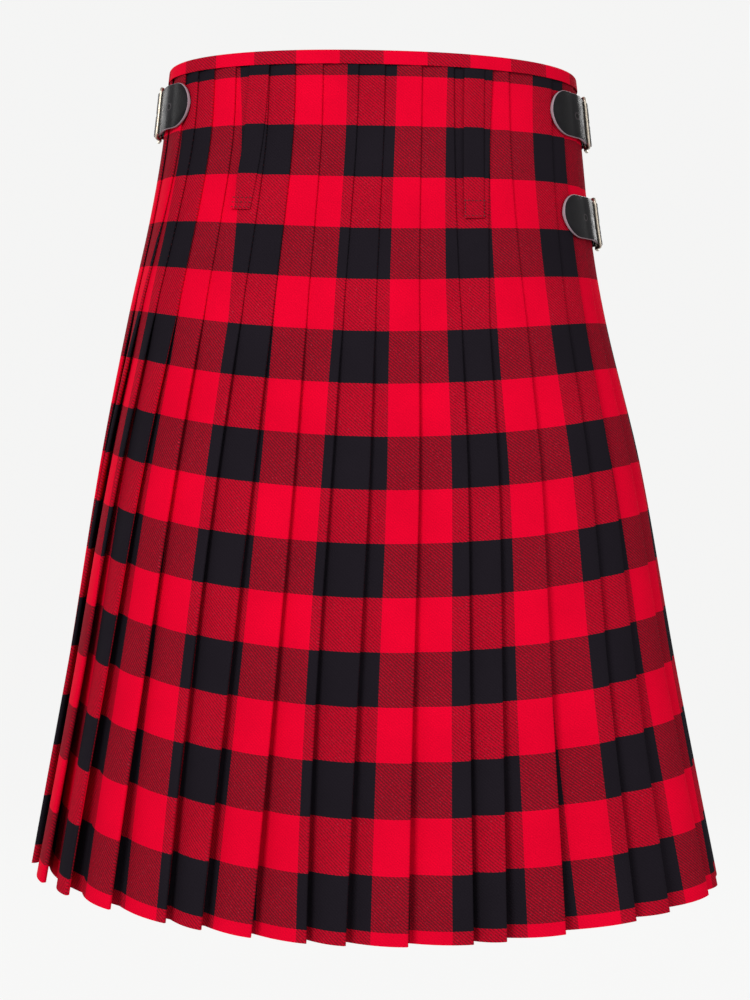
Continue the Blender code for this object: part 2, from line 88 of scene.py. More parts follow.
OVER_EDGE_HEM = 25.2
UNDER_EDGE = -31.0  # free edge of the inner apron, on the wearer's left
PAST_FOLD = 2.4  # the inner apron reaches its depth this many turns past the last fold
BEFORE_FOLD = 0.15  # the outer apron's flat part ends this many turns before the first
SEAM = 0.3  # between pieces that are sewn or lie together

# The check: equal red and black stripes both ways
STRIPE = 28.0  # width of a column
ROW = 36.25  # height of a row, stretched by steaming
TOP_EASE = 2.6  # the first rows sit this much lower, where the band takes the cloth up
SIDE_LIFT = 7.0  # the rows rise this much towards the sides, below the hips
SIDE_TURNS = (9, 24)  # the rise comes in between these turns from centre back
HEM_LIFT = (0.7, 0.2)  # shares of it that are left at the hem, on the left and the right
HEM_EASE = 2.2  # the lowest rows sit this much lower, where steam has let the cloth down
# Where down the cloth these come in: the first place, and over which length
LEFT_RISE = (WAIST, 180)
RIGHT_RISE = (140, 140)
HEM_RISE = (420, 180)
TOP_EASED = (0, 45)
HEM_EASED = (470, 130)
MIXED_CONTRAST = 0.42  # how far the two yarns stand apart where both show
SLANT = 1.14  # of the twill's ribs, across for each mm down
WANDER = 0.35  # mm that a rib strays to either side
WEFT_SHARE = 0.61  # of the surface shows the yarns that run round the body
RIB_EDGE = 0.06  # how soft a rib's edge is, as a share of the twill's period
FIRST_ROW = 52.2  # a red row ends and a black one begins here
INNER_CHECK = 20.0  # where in the check the inner apron's cloth lies at the last fold

# Waistband
BAND_HEIGHT = 9.9
BAND_WALL = 0.7
BAND_CLEAR = 0.56  # between the cloth's middle and the band
PLEATS_INNER = 5.4  # how far in the pleats' layers reach at the top
BAND_STEP = (-3.7, -2.5)  # between these turns from the first fold it steps in over the pleats
BAND_SETTLE = 0.8  # turns past the last fold in which it sinks with the inner apron
BAND_ROUND = 1.9  # largest radius of its fold
BAND_LEVELS = (3.5, 6.5, BAND_HEIGHT)  # its rows of points, down the cloth
BAND_LINING = 1.2  # its lining turns this many walls below the top
BAND_PUCKERS = ((0.16, 5.3, 0), (0.12, 2.9, 1))  # size, mm for each radian, shift
BAND_POINTS = 181  # across the back
BAND_STRIPE = 30.1  # width of the band's own columns
BAND_ROW = 17.5  # where in a red row the band is cut
BAND_COLUMN = -7.6  # middle of one of its black columns, in mm from centre back

# Straps and buckles
STRAP_WIDTH = 34.0
STRAP_WALL = 2.2
STRAP_BASE = 75.0  # its sewn end, forward from the buckle's middle
UNDER_STRAP_BASE = 92.0  # the same for the inner apron's strap
CHAPE_WIDTH = 32.0  # the chape is the leather that holds a buckle to the cloth
CHAPE_WALL = 1.1
CHAPE_LENGTH = 30.0
BUCKLE_TURN = 24.6  # the buckles' middles lie this far round, on either side
FRAME_HALF_LENGTH = 11.0
FRAME_BAR = 2.4  # the frame's bars, seen from outside, and their thickness
FRAME_WALL = 2.2
CENTRE_BAR = 1.4
PRONG_RADIUS = 0.75
PRONG_TAPER = 0.35  # share of its thickness that a prong loses towards its tip

# Belt loops
LOOP_WIDTH = 14.5
LOOP_TOP = 10.4
LOOP_END = 113.0
LOOP_ROWS = 40
LOOP_SLACK = (0.75, 0.3)  # how far out it lies at its ends, and how much more between them
LOOP_PUFF = (0.8, 0.1)  # its thickness, and how much that varies
LOOP_WAVES = 9  # radians of that down the loop
LOOP_CHECK = (1.6, 0.4)  # its check lies this far across and down from the cloth's under it
# Across the loop: place as a share of its half width, and fullness
LOOP_PROFILE = ((-1.0, 0.15), (-0.965, 0.6), (-0.86, 0.9), (-0.5, 1), (0, 1), (0.5, 1),
                (0.86, 0.9), (0.965, 0.6), (1.0, 0.15))
TACK_OUT = 1.85  # how far out the tacks across them lie


class Section(NamedTuple):
    along: float  # down the cloth
    drop: float  # below the top edge
    half_width: float
    back_depth: float
    front_depth: float
    shift: float  # of its middle, towards the wearer's right
    side_lift: float  # how much higher its sides are than its middle
    squareness: float  # power of its curve; an oval's is 2


SECTIONS = (
    Section(0, 0, 147.2, 93.7, 112, -0.8, -0.8, 2.34),
    Section(60, 60, 153.2, 95.9, 114, -1.1, 3.3, 2.26),
    Section(121, 120.3, 160.8, 104.6, 118, -2.9, 8.4, 2.32),
    Section(193, 191.2, 173.5, 117.4, 125, -4.4, 13.7, 2.37),
    Section(305, 302, 195.9, 133.2, 136, -2.0, 19.4, 2.46),
    Section(455, 451, 219.6, 149.0, 150, -0.9, 24.4, 2.59),
    Section(607, 603, 246.3, 157.6, 164, 0.5, 30.1, 2.95),
)


class Fold(NamedTuple):
    waist: float  # turn of the fold edge at the waist, the fell and the hem
    fell: float
    hem: float
    bow: float  # how far it bows aside half way from the fell to the hem, in turns
    opening: float  # how far the pleat stands open at the hem
    check: tuple  # where in the check the edge lies at the waist, the fell and the hem


# Where in the check's 56 mm repeat a fold's edge lies: 0 to 28 is a black column, 28 to 56 red
FOLDS = (
    Fold(-21.50, -21.00, -23.60, -0.40, 8.5, (56, 56, 56)),
    Fold(-18.60, -19.10, -22.20, -0.60, 11.0, (-1.4, 2, 20)),
    Fold(-16.66, -16.94, -18.25, -0.55, 10.0, (14, 8, -8)),
    Fold(-14.60, -14.55, -15.95, -0.45, 11.5, (28, 28, 28)),
    Fold(-12.32, -12.17, -13.20, -0.30, 12.0, (47.3, 50.6, 54.6)),
    Fold(-9.20, -9.20, -10.22, -0.36, 11.5, (18, 8.5, 6)),
    Fold(-6.83, -6.88, -8.42, -0.17, 10.0, (28, 28, 28)),
    Fold(-4.39, -4.40, -5.98, -0.04, 11.0, (47.7, 50.2, 54.6)),
    Fold(-1.41, -1.79, -3.31, -0.41, 10.5, (6.9, 5.9, 6.5)),
    Fold(0.89, 0.52, -1.42, -0.18, 9.5, (28, 28, 28)),
    Fold(4.10, 3.68, 1.58, -0.21, 10.5, (45.7, 48, 52.4)),
    Fold(6.97, 6.72, 4.74, -0.20, 10.0, (5.7, 9.6, 13.5)),
    Fold(10.12, 8.79, 6.35, -0.18, 9.5, (28, 28, 28)),
    Fold(12.05, 11.69, 9.25, -0.25, 10.5, (42.7, 49.2, 52.5)),
    Fold(16.52, 15.37, 12.96, -0.36, 10.0, (17, 15.3, 11)),
    Fold(18.29, 17.40, 14.99, -0.31, 9.5, (28, 28, 28)),
    Fold(20.75, 19.41, 18.43, -0.09, 9.5, (48.5, 48, 54.6)),
    Fold(23.00, 21.60, 20.38, -0.16, 9.0, (0, -4, 10)),
    Fold(25.30, 24.10, 22.90, -0.10, 8.0, (28, 28, 28)),
)
LAST = len(FOLDS)


class Loop(NamedTuple):
    name: str
    top: float  # turns
    end: float
    foot: float  # how far down the cloth it ends
    number: int  # the pleat whose check it matches


LOOPS = (
    Loop("belt_loop_left", -10.00, -10.53, 114.5, 6),
    Loop("belt_loop_right", 8.95, 8.41, 117.5, 13),
)


class Fastener(NamedTuple):
    name: str
    side: int  # 1 on the wearer's right, -1 on the left
    along: float
    tip: float  # how far the strap's tip lies past the buckle's middle
    hole: float  # from the tip to the hole that shows


FASTENERS = (
    Fastener("left_waist", -1, 32.5, 59.0, 23.6),
    Fastener("right_waist", 1, 33.5, 64.0, 29.3),
    Fastener("right_hip", 1, 113.0, 67.0, 27.0),
)


class Crease(NamedTuple):
    along: float  # its middle
    turn: float
    length: float  # mm, along its own line
    width: float
    lean: float  # degrees from straight down, towards the wearer's right
    depth: float  # in, mm; a ridge is negative


# Soft dents and ridges that hanging and folding have left
CREASES = (
    Crease(420, -38.0, 260, 46, 6, 2.4),
    Crease(470, -46.0, 240, 60, -4, -2.2),
    Crease(400, 42.0, 280, 52, -5, 2.6),
    Crease(500, 36.0, 180, 50, 3, -2.0),
    Crease(520, 49.0, 150, 46, 2, 2.2),
    Crease(250, -30.0, 160, 40, 8, 1.5),
    Crease(240, 33.0, 170, 40, -9, 1.6),
    Crease(430, -11.5, 190, 22, 2, 0.7),
    Crease(520, -4.6, 150, 24, -3, -0.8),
    Crease(360, 2.2, 170, 22, 3, 0.7),
    Crease(470, 11.0, 190, 24, -2, 0.8),
    Crease(380, 14.0, 150, 20, 4, -0.7),
    Crease(300, -17.0, 160, 20, 3, 0.7),
)


# ---------------------------------------------------------------- sizes and colours

def colour(name, description, default):
    return FloatVectorProperty(name=name, description=description, subtype="COLOR", size=3,
                               min=0.0, max=1.0, default=default)


def metres(name, description, default):
    return FloatProperty(name=name, description=description, unit="LENGTH", default=default)


class KiltSizes(bpy.types.PropertyGroup):
    cloth_thickness: metres("Cloth thickness", "Thickness of the twill", 0.0009)
    twill_period: metres("Twill period", "Distance between the twill's ribs along a row", 0.0026)
    stitch_spacing: metres("Stitch spacing", "Distance from one stitch to the next", 0.0042)
    stitch_length: metres("Stitch length", "Thread that shows in one stitch", 0.0024)
    rows: IntProperty(name="Rows", description="Rows of points down the cloth", default=72)


class KiltColours(bpy.types.PropertyGroup):
    red: colour("Red yarn", "Bright red wool", (0.80, 0.0010, 0.026))
    black: colour("Black yarn", "Black wool", (0.0136, 0.0108, 0.0152))
    leather: colour("Leather", "Black strap leather", (0.007, 0.0062, 0.0075))
    # Pale cut edge of the straps, partly a painted highlight where the edge catches the light
    rim: colour("Cut edge", "Pale edge of the cut leather", (0.38, 0.29, 0.33))
    metal: colour("Buckle metal", "Nickel-plated brass", (0.68, 0.60, 0.49))
    thread: colour("Thread", "Dark sewing thread", (0.06, 0.005, 0.010))
    studio: colour("Studio", "Floor and backdrop", (0.02, 0.02, 0.02))


# ---------------------------------------------------------------- the form of the body

def section_at(along):
    """The section at a distance down the cloth, on smooth curves through the table."""
    last = len(SECTIONS) - 2
    k = 0
    while k < last and along > SECTIONS[k + 1].along:
        k += 1
    low, high = SECTIONS[k], SECTIONS[k + 1]
    before, after = SECTIONS[max(k - 1, 0)], SECTIONS[min(k + 2, len(SECTIONS) - 1)]
    span = high.along - low.along
    x = (along - low.along) / span
    values = []
    for a, b, c, d in zip(before, low, high, after):
        slope_low = (c - a) / (high.along - before.along) * span
        slope_high = (d - b) / (after.along - low.along) * span
        values.append((2 * x**3 - 3 * x**2 + 1) * b + (x**3 - 2 * x**2 + x) * slope_low
                      + (3 * x**2 - 2 * x**3) * c + (x**3 - x**2) * slope_high)
    return Section(*values)


def wrapped(turns):
    """The same places, counted from -50 to 50."""
    return (np.asarray(turns, float) + FRONT) % WHOLE - FRONT


class Ring:
    """The closed curve that the outermost cloth follows at one distance down it."""
    STEPS = 400
    ASIDE = 0.2  # turns to either side, for its slope at a place

    def __init__(self, along):
        self.section = section_at(along)
        self.back = self.quarter(self.section.back_depth)
        self.front = self.quarter(self.section.front_depth)
        self.mm_per_turn = self.back[0][-1] / SIDE

    def quarter(self, depth):
        """Arc length, across and depth, from the middle round to the side."""
        angle = np.linspace(0, math.pi / 2, self.STEPS + 1)
        c, s = np.abs(np.cos(angle)), np.abs(np.sin(angle))
        power = self.section.squareness
        reach = (c**power + s**power) ** (-1 / power)
        x, y = self.section.half_width * s * reach, depth * c * reach
        length = np.concatenate(([0.0], np.cumsum(np.hypot(np.diff(x), np.diff(y)))))
        return length, x, y

    def on_curve(self, turns):
        """Across and depth at these turns."""
        turns = wrapped(turns)
        size = np.abs(turns)
        front = size > SIDE
        back_length = np.minimum(size, SIDE) / SIDE * self.back[0][-1]
        front_length = (FRONT - np.maximum(size, SIDE)) / SIDE * self.front[0][-1]
        x = np.where(front, np.interp(front_length, self.front[0], self.front[1]),
                     np.interp(back_length, self.back[0], self.back[1]))
        y = np.where(front, np.interp(front_length, self.front[0], self.front[2]),
                     -np.interp(back_length, self.back[0], self.back[2]))
        return np.where(turns >= 0, x, -x), y

    def place(self, turns, outs):
        """Points at these turns, moved out from the ring, in metres."""
        turns = np.asarray(turns, float)
        x, y = self.on_curve(turns)
        (xa, ya), (xb, yb) = self.on_curve(turns - self.ASIDE), self.on_curve(turns + self.ASIDE)
        size = np.hypot(xb - xa, yb - ya)
        x = x + outs * (yb - ya) / size + self.section.shift
        y = y - outs * (xb - xa) / size
        share = np.sin(math.pi * turns / FRONT) ** 2
        share = np.where(y > 0, 1 - FRONT_SAG * (1 - share), share)
        z = self.section.side_lift * share - self.section.drop - HANG_TILT * x
        return np.stack((x, y, z), axis=-1) * MM


@lru_cache(maxsize=None)
def ring_at(along):
    return Ring(along)


def point_at(along, turn, out):
    return Vector(ring_at(along).place(np.array([turn]), np.array([out]))[0])


def smooth(x):
    """From 0 to 1 and level at both ends."""
    x = min(max(x, 0.0), 1.0)
    return x * x * (3 - 2 * x)


def smooths(x):
    """smooth for an array."""
    x = np.clip(x, 0.0, 1.0)
    return x * x * (3 - 2 * x)


def comes_in(along, run):
    """From 0 to 1 down the cloth; run is the place where it starts and its length."""
    return smooth((along - run[0]) / run[1])


def past_fell(along, run):
    """From 0 to 1; run is how far above the fell it starts and its length."""
    return smooth((along - FELL + run[0]) / run[1])


def below_fell(along):
    """How far down it lies between the fell, 0, and the hem, 1."""
    return (along - FELL) / (HEM - FELL)


def dent(along, turns):
    """How far the cloth lies in from its even form, in mm."""
    total = np.zeros(len(turns))
    for crease in CREASES:
        gap = wrapped(np.asarray(turns) - crease.turn)
        across = gap * ring_at(along).mm_per_turn
        down = along - crease.along
        lean = math.radians(crease.lean)
        beside = across * math.cos(lean) - down * math.sin(lean)
        length = across * math.sin(lean) + down * math.cos(lean)
        total += crease.depth * np.exp(-(beside / crease.width * 2) ** 2
                                       - (length / crease.length * 2) ** 2)
    return total


# ---------------------------------------------------------------- pleats and aprons

def row_place(along, turns):
    """Where in the check's rows the cloth lies."""
    side = smooths((np.abs(turns) - SIDE_TURNS[0]) / (SIDE_TURNS[1] - SIDE_TURNS[0]))
    left, right = comes_in(along, LEFT_RISE), comes_in(along, RIGHT_RISE)
    low = comes_in(along, HEM_RISE)
    left *= 1 - low * (1 - HEM_LIFT[0])
    right *= 1 - low * (1 - HEM_LIFT[1])
    lift = SIDE_LIFT * side * np.where(np.asarray(turns) < 0, left, right)
    top = TOP_EASE * (1 - comes_in(along, TOP_EASED))
    return along + lift - top - HEM_EASE * comes_in(along, HEM_EASED)


def between(values, along):
    """A fold's value between its waist, fell and hem, in two straight runs."""
    waist, fell, hem = values
    if along < FELL:
        return waist + (fell - waist) * (along - WAIST) / (FELL - WAIST)
    return fell + (hem - fell) * below_fell(along)


def fold_turn(number, along):
    """Turn of a fold's edge, counted from 1, at a distance down the cloth."""
    fold = FOLDS[number - 1]
    share = max(below_fell(along), 0.0)
    return between(fold[:3], along) + fold.bow * 4 * share * (1 - share)


def fold_mm(number, along):
    return fold_turn(number, along) * ring_at(along).mm_per_turn


def face_width(number, along):
    """Width of a pleat's face; the first has the second's."""
    number = max(number, 2)
    return fold_mm(number, along) - fold_mm(number - 1, along)


def pitch(along):
    """From one layer of cloth to the next."""
    return SEWN_PITCH + (PITCH - SEWN_PITCH) * past_fell(along, PITCH_RUN)


def opening(number, along):
    """How far a pleat stands open."""
    number = min(number, LAST)
    early = EARLY_OPENING * past_fell(along, EARLY_RUN)
    late = 2 * (1 - EARLY_OPENING) * smooth(below_fell(along) * 0.5)
    return FOLDS[number - 1].opening * (early + late)


def hidden_end(number, along):
    """How far across the hidden part of a pleat reaches."""
    return fold_mm(number, along) - HIDDEN_SHARE * face_width(number, along)


def face_out(number, across, along):
    """How far out a pleat's face lies at distances across, in mm."""
    across = np.asarray(across, float)
    if number == 1:
        return np.zeros(across.shape)
    share = (fold_mm(number, along) - across) / face_width(number, along)
    crown = CROWN[0] + CROWN[1] * smooth(below_fell(along))
    wave = math.sin(along / SWAY_LENGTH + number * SWAY_SHIFT)
    sway = SWAY * wave * past_fell(along, SWAY_RUN)
    bulge = (crown + sway) * np.sin(math.pi * np.clip(share, 0, 1))
    return -2 * pitch(along) * share - opening(number, along) * share ** FACE_POWER + bulge


def behind(number, across, along, layer):
    """The return, layer 1, or the next pleat's start, layer 2, behind a fold."""
    across = np.asarray(across, float)
    start, edge = hidden_end(number, along), fold_mm(number, along)
    share = (across - start) / (edge - start)
    gap = opening(number + 1, along) * share * (RETURN_SHARE if layer == 1 else 1)
    flat = np.zeros(across.shape)
    if number > 1:
        depth = 2 * pitch(along) + opening(number, along)
        flat = -depth * (edge - across) / face_width(number, along)
    return flat - layer * pitch(along) - gap


START_POINTS, FACE_POINTS, RETURN_POINTS = 5, 15, 5
FRONT_POINTS = 90  # across the outer apron, as far as its slit
SIDE_POINTS = 16  # from the slit to the first fold
NEAR_POINTS = 8  # where the inner apron comes out from behind the last fold


class Line:
    """Points of the cloth's middle at one distance down: across, out and place in the check."""

    def __init__(self):
        self.across, self.out, self.left, self.right = [], [], [], []

    def add(self, across, out, check):
        self.across.extend(across)
        self.out.extend(out)
        self.left.extend(check)
        self.right.extend(check)


def start_of_pleat(line, number, along):
    """From the turn behind the last fold to the place where this pleat comes into sight."""
    before = number - 1
    start, edge = hidden_end(before, along) + pitch(along) / 2, fold_mm(before, along)
    across = np.linspace(start, edge, START_POINTS + 1)[:-1]
    own = edge_check(number, along)
    line.add(across, behind(before, across, along, 2), own + across)


def edge_check(number, along):
    if number > LAST:
        return INNER_CHECK - fold_mm(LAST, along)
    return between(FOLDS[number - 1].check, along) - fold_mm(number, along)


def face_of_pleat(line, number, along):
    start, edge = fold_mm(number - 1, along), fold_mm(number, along)
    across = np.linspace(start, edge - pitch(along) / 2, FACE_POINTS)
    line.add(across, face_out(number, across, along), edge_check(number, along) + across)


def end_of_pleat(line, number, along):
    """The fold's rounded edge and the return behind it."""
    edge, half = fold_mm(number, along), pitch(along) / 2
    own = edge_check(number, along)
    depth = pitch(along) + opening(number + 1, along) * RETURN_SHARE
    front, back = float(face_out(number, edge - half, along)), -depth
    middle, radius = (front + back) / 2, (front - back) / 2
    for degrees in (60, 30, 0, -30, -60):
        angle = math.radians(degrees)
        across = edge - half + half * math.cos(angle)
        line.add([across], [middle + radius * math.sin(angle)],
                 [own + edge + radius * (math.radians(60 - degrees) - 1)])
    across = np.linspace(edge - half, hidden_end(number, along) + half, RETURN_POINTS)
    line.add(across, behind(number, across, along, 1), own + 2 * edge - across)


def turn_back(line, number, along):
    """The hidden turn between a return and the next pleat's start, where the check changes."""
    end = hidden_end(number, along)
    own = edge_check(number, along) + 2 * fold_mm(number, along)
    other = edge_check(number + 1, along)
    level = -(2 * pitch(along) + opening(number, along)) * HIDDEN_SHARE if number > 1 else 0.0
    for degrees in (45, 0, -45):
        angle = math.radians(degrees)
        across = end + pitch(along) / 2 - pitch(along) / 2 * math.cos(angle)
        line.across.append(across)
        line.out.append(level - 1.5 * pitch(along) + pitch(along) / 2 * math.sin(angle))
        line.left.append(other + across if degrees <= 0 else own - across)
        line.right.append(own - across if degrees >= 0 else other + across)


def pleat_line(first, last, along):
    """The cloth's line through several pleats."""
    line = Line()
    for number in range(first, last + 1):
        start_of_pleat(line, number, along)
        face_of_pleat(line, number, along)
        end_of_pleat(line, number, along)
        if number < last:
            turn_back(line, number, along)
    return line


def over_edge(along):
    """Turn of the outer apron's free edge."""
    if along < FELL:
        return OVER_EDGE_TOP + (OVER_EDGE_FELL - OVER_EDGE_TOP) * smooth(along / FELL)
    return OVER_EDGE_FELL + (OVER_EDGE_HEM - OVER_EDGE_FELL) * below_fell(along)


# The outer apron's opening for the inner apron's strap
SLIT_TURNS = (-7.3, -6.1)  # from the first fold
SLIT_ROWS = (14.0, 51.0)  # down the cloth


def over_turns(along):
    """From the free edge on the wearer's right, round the front, to the first fold."""
    fold, start = fold_turn(1, along), over_edge(along) - WHOLE
    front = np.linspace(start, fold + SLIT_TURNS[0], FRONT_POINTS)
    side = np.linspace(fold + SLIT_TURNS[1], fold - BEFORE_FOLD, SIDE_POINTS)
    return np.concatenate((front, side))


def under_turns(along):
    """From the last fold, round the front, to the free edge on the wearer's left."""
    fold = fold_turn(LAST, along)
    near = np.linspace(fold, fold + PAST_FOLD, NEAR_POINTS + 1)[1:]
    far = np.linspace(near[-1], UNDER_EDGE + WHOLE, FRONT_POINTS + 1)[1:]
    return np.concatenate((near, far))


def under_out(turns, along):
    """The inner apron comes out from behind the last fold and sinks to its own depth."""
    start = float(behind(LAST, fold_mm(LAST, along), along, 2))
    share = smooths((np.asarray(turns) - fold_turn(LAST, along)) / PAST_FOLD)
    return start + (-UNDER_DEPTH - start) * share


def over_apron_line(along):
    line = Line()
    across = over_turns(along) * ring_at(along).mm_per_turn
    line.add(across, np.zeros(len(across)), edge_check(1, along) + across)
    end_of_pleat(line, 1, along)
    return line


def under_apron_line(along):
    line = Line()
    start_of_pleat(line, LAST + 1, along)
    turns = under_turns(along)
    across = turns * ring_at(along).mm_per_turn
    line.add(across, under_out(turns, along), edge_check(LAST + 1, along) + across)
    return line


# ---------------------------------------------------------------- meshes

MITRE_LIMIT = 0.6  # keeps sharp corners from reaching out too far


def moved_aside(across, out, distance):
    """A line of points moved to one side, its corners mitred."""
    x, y = np.asarray(across, float), np.asarray(out, float)
    dx, dy = np.diff(x), np.diff(y)
    size = np.maximum(np.hypot(dx, dy), 1e-6)
    nx, ny = -dy / size, dx / size
    ax, ay = np.concatenate((nx[:1], nx)), np.concatenate((ny[:1], ny))
    bx, by = np.concatenate((nx, nx[-1:])), np.concatenate((ny, ny[-1:]))
    scale = distance / np.maximum(1 + ax * bx + ay * by, MITRE_LIMIT)
    return x + (ax + bx) * scale, y + (ay + by) * scale


def join(name, verts, faces, uvs, material, sharp=50.0):
    """A mesh object from points, faces and each corner's place in the check."""
    mesh = bpy.data.meshes.new(name)
    mesh.from_pydata([tuple(v) for v in verts], [], [tuple(int(k) for k in f) for f in faces])
    if uvs is not None:
        layer = mesh.uv_layers.new(name="check")
        layer.data.foreach_set("uv", np.asarray(uvs, float).ravel())
    mesh.materials.append(material)
    mesh.shade_smooth()
    mesh.set_sharp_from_angle(angle=math.radians(sharp))
    piece = bpy.data.objects.new(name, mesh)
    bpy.context.scene.collection.objects.link(piece)
    return piece


def wall(name, outer, inner, left, right, material, cut=None):
    """A closed wall between two grids of points.

    left and right are the check's place at each point, as the left or right end of a cell;
    cut marks cells that are left out.
    """
    rows, columns = outer.shape[:2]
    size = rows * columns
    verts = np.concatenate((outer.reshape(-1, 3), inner.reshape(-1, 3)))
    kept = np.ones((rows - 1, columns - 1), bool)
    if cut is not None:
        kept &= ~cut
    i, j = np.nonzero(kept)
    a = i * columns + j
    quads = np.stack((a, a + columns, a + columns + 1, a + 1), axis=1)
    uv = np.stack((left[i, j], left[i + 1, j], right[i + 1, j + 1], right[i, j + 1]), axis=1)
    faces, uvs = [quads, quads[:, ::-1] + size], [uv, uv[:, ::-1]]
    padded = np.pad(kept, 1)
    for di, dj, first, second in ((-1, 0, 3, 0), (1, 0, 1, 2), (0, -1, 0, 1), (0, 1, 2, 3)):
        open_side = ~padded[i + 1 + di, j + 1 + dj]
        edge, corner = quads[open_side], uv[open_side]
        p, q = edge[:, first], edge[:, second]
        faces.append(np.stack((q, p, p + size, q + size), axis=1))
        uvs.append(np.stack((corner[:, second], corner[:, first],
                             corner[:, first], corner[:, second]), axis=1))
    return join(name, verts, np.concatenate(faces), np.concatenate(uvs), material)


def cloth(name, line_at, alongs, material, thickness, cut_at=None):
    """A panel of cloth from its middle line at each distance down."""
    outer, inner, left, right = [], [], [], []
    for along in alongs:
        ring = ring_at(along)
        line = line_at(along)
        for side, grid in ((thickness / 2, outer), (-thickness / 2, inner)):
            across, out = moved_aside(line.across, line.out, side)
            turns = across / ring.mm_per_turn
            grid.append(ring.place(turns, out - dent(along, turns)))
        rows = row_place(along, np.array(line.across) / ring.mm_per_turn)
        for check, grid in ((line.left, left), (line.right, right)):
            grid.append(np.stack((np.array(check), rows), axis=1) * MM)
    grids = [np.array(grid) for grid in (outer, inner, left, right)]
    cut = cut_at(alongs, grids[0].shape[1]) if cut_at else None
    return wall(name, *grids, material, cut)


def cloth_rows(count):
    """Evenly spaced distances down the cloth."""
    return [round(float(along), 3) for along in np.linspace(CLOTH_TOP, HEM, count)]


def keep(piece, slot, *nodes):
    """The piece rides on the kilt and stands for these CAD nodes, if any."""
    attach(piece, "root")
    if nodes:
        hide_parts(*nodes)
    return piece


# ---------------------------------------------------------------- waistband and belt loops

def band_reach(turns):
    """How far out the outer leg and how far in the inner leg reach, before their thickness."""
    clear = BAND_CLEAR
    first, last = fold_turn(1, CLOTH_TOP), fold_turn(LAST, CLOTH_TOP)
    outer = clear + under_out(turns, CLOTH_TOP) * smooths((turns - last) / BAND_SETTLE)
    step = smooths((turns - first - BAND_STEP[0]) / (BAND_STEP[1] - BAND_STEP[0]))
    return outer, clear + step * (PLEATS_INNER + SEAM - clear)


def band_profile(outer, inner):
    """Along and out of the band's skin, from its inner lower edge, over the top, to the outer."""
    skin, lining = [], []
    inside, outside = -inner - BAND_WALL, outer + BAND_WALL
    radius = min(BAND_ROUND, (outside - inside) / 2)
    for along in reversed(BAND_LEVELS):
        skin.append((along, inside))
        lining.append((along, -inner))
    for start, middle, lined in ((180, inside + radius, -inner), (90, outside - radius, outer)):
        for degrees in (0, 22.5, 45, 67.5, 90):
            angle = math.radians(start - degrees)
            skin.append((radius * (1 - math.sin(angle)), middle + radius * math.cos(angle)))
            lining.append((BAND_WALL * BAND_LINING, lined))
    for along in BAND_LEVELS:
        skin.append((along, outside))
        lining.append((along, outer))
    return skin, lining


def make_waistband(material):
    """A wall that folds over the cloth's top edge, all the way round."""
    back = np.linspace(fold_turn(1, CLOTH_TOP), fold_turn(LAST, CLOTH_TOP), BAND_POINTS)
    turns = np.concatenate((over_turns(CLOTH_TOP), back, under_turns(CLOTH_TOP)))
    outer, inner = band_reach(turns)
    profiles = [band_profile(a, b) for a, b in zip(outer, inner)]
    count = len(profiles[0][0])
    skin = np.empty((count, len(turns), 3))
    lining, check = np.empty_like(skin), np.empty((count, len(turns), 2))
    across = turns * ring_at(5.0).mm_per_turn
    for j, (turn, profile) in enumerate(zip(turns, profiles)):
        pucker = sum(size * math.sin(across[j] / radian + shift)
                     for size, radian, shift in BAND_PUCKERS)
        for grid, line in ((skin, profile[0]), (lining, profile[1])):
            for i, (along, out) in enumerate(line):
                free = smooth(along / BAND_HEIGHT) * pucker if out > 0 else 0.0
                grid[i, j] = point_at(along, turn, out + free)
        steps = np.hypot(*np.diff(np.array(profile[0]), axis=0).T)
        check[:, j, 1] = BAND_ROW + np.concatenate(((0.0,), np.cumsum(steps)))
        check[:, j, 0] = (across[j] - BAND_COLUMN) * STRIPE / BAND_STRIPE + STRIPE / 2
    piece = wall("waistband_cloth", skin, lining, check * MM, check * MM, material)
    return keep(piece, "band_cloth", "waistband")


def make_belt_loops(material):
    """Soft flat strips over the stitched pleats; their check goes on from the cloth's."""
    pieces = []
    sideways, full = np.array(LOOP_PROFILE).T
    sideways = sideways * LOOP_WIDTH / 2
    for loop in LOOPS:
        outer, inner, check = [], [], []
        for along in np.linspace(LOOP_TOP, loop.foot, LOOP_ROWS):
            along = round(float(along), 3)
            share = (along - LOOP_TOP) / (LOOP_END - LOOP_TOP)
            ring = ring_at(along)
            middle = (loop.top + (loop.end - loop.top) * share) * ring.mm_per_turn
            turns = (middle + sideways) / ring.mm_per_turn
            slack = LOOP_SLACK[0] + LOOP_SLACK[1] * math.sin(math.pi * min(share, 1.0)) ** 2
            puff = LOOP_PUFF[0] - LOOP_PUFF[1] * math.sin(share * LOOP_WAVES)
            outer.append(ring.place(turns, slack + full * puff))
            inner.append(ring.place(turns, np.full(len(turns), slack)))
            column = edge_check(loop.number, along) + middle + LOOP_CHECK[0]
            row = row_place(along + LOOP_CHECK[1], turns)
            check.append(np.stack((column + sideways, row), axis=1))
        grid = np.array(check) * MM
        piece = wall(loop.name + "_cloth", np.array(outer), np.array(inner), grid, grid, material)
        pieces.append(keep(piece, "band_cloth", loop.name))
    return pieces


# ---------------------------------------------------------------- straps and buckles

# How far out these lie
CLOTH_SKIN = 0.8  # the cloth lies inside this
REST_OUT = CLOTH_SKIN + STRAP_WALL / 2  # a strap on the cloth
ON_CHAPE = REST_OUT + CHAPE_WALL + SEAM  # a strap on the chape
CENTRE_OUT = 3.4  # the buckle's centre bar
ROLL = CENTRE_OUT - CLOTH_SKIN  # outside radius of the chape's roll round that bar
OVER_ROLL = CENTRE_OUT + ROLL + SEAM + STRAP_WALL / 2
OUTER_BAR_OUT = ON_CHAPE + STRAP_WALL / 2 + SEAM + FRAME_WALL / 2
UNDER_OUT = -(UNDER_DEPTH - CLOTH_SKIN - STRAP_WALL / 2)  # the strap on the inner apron

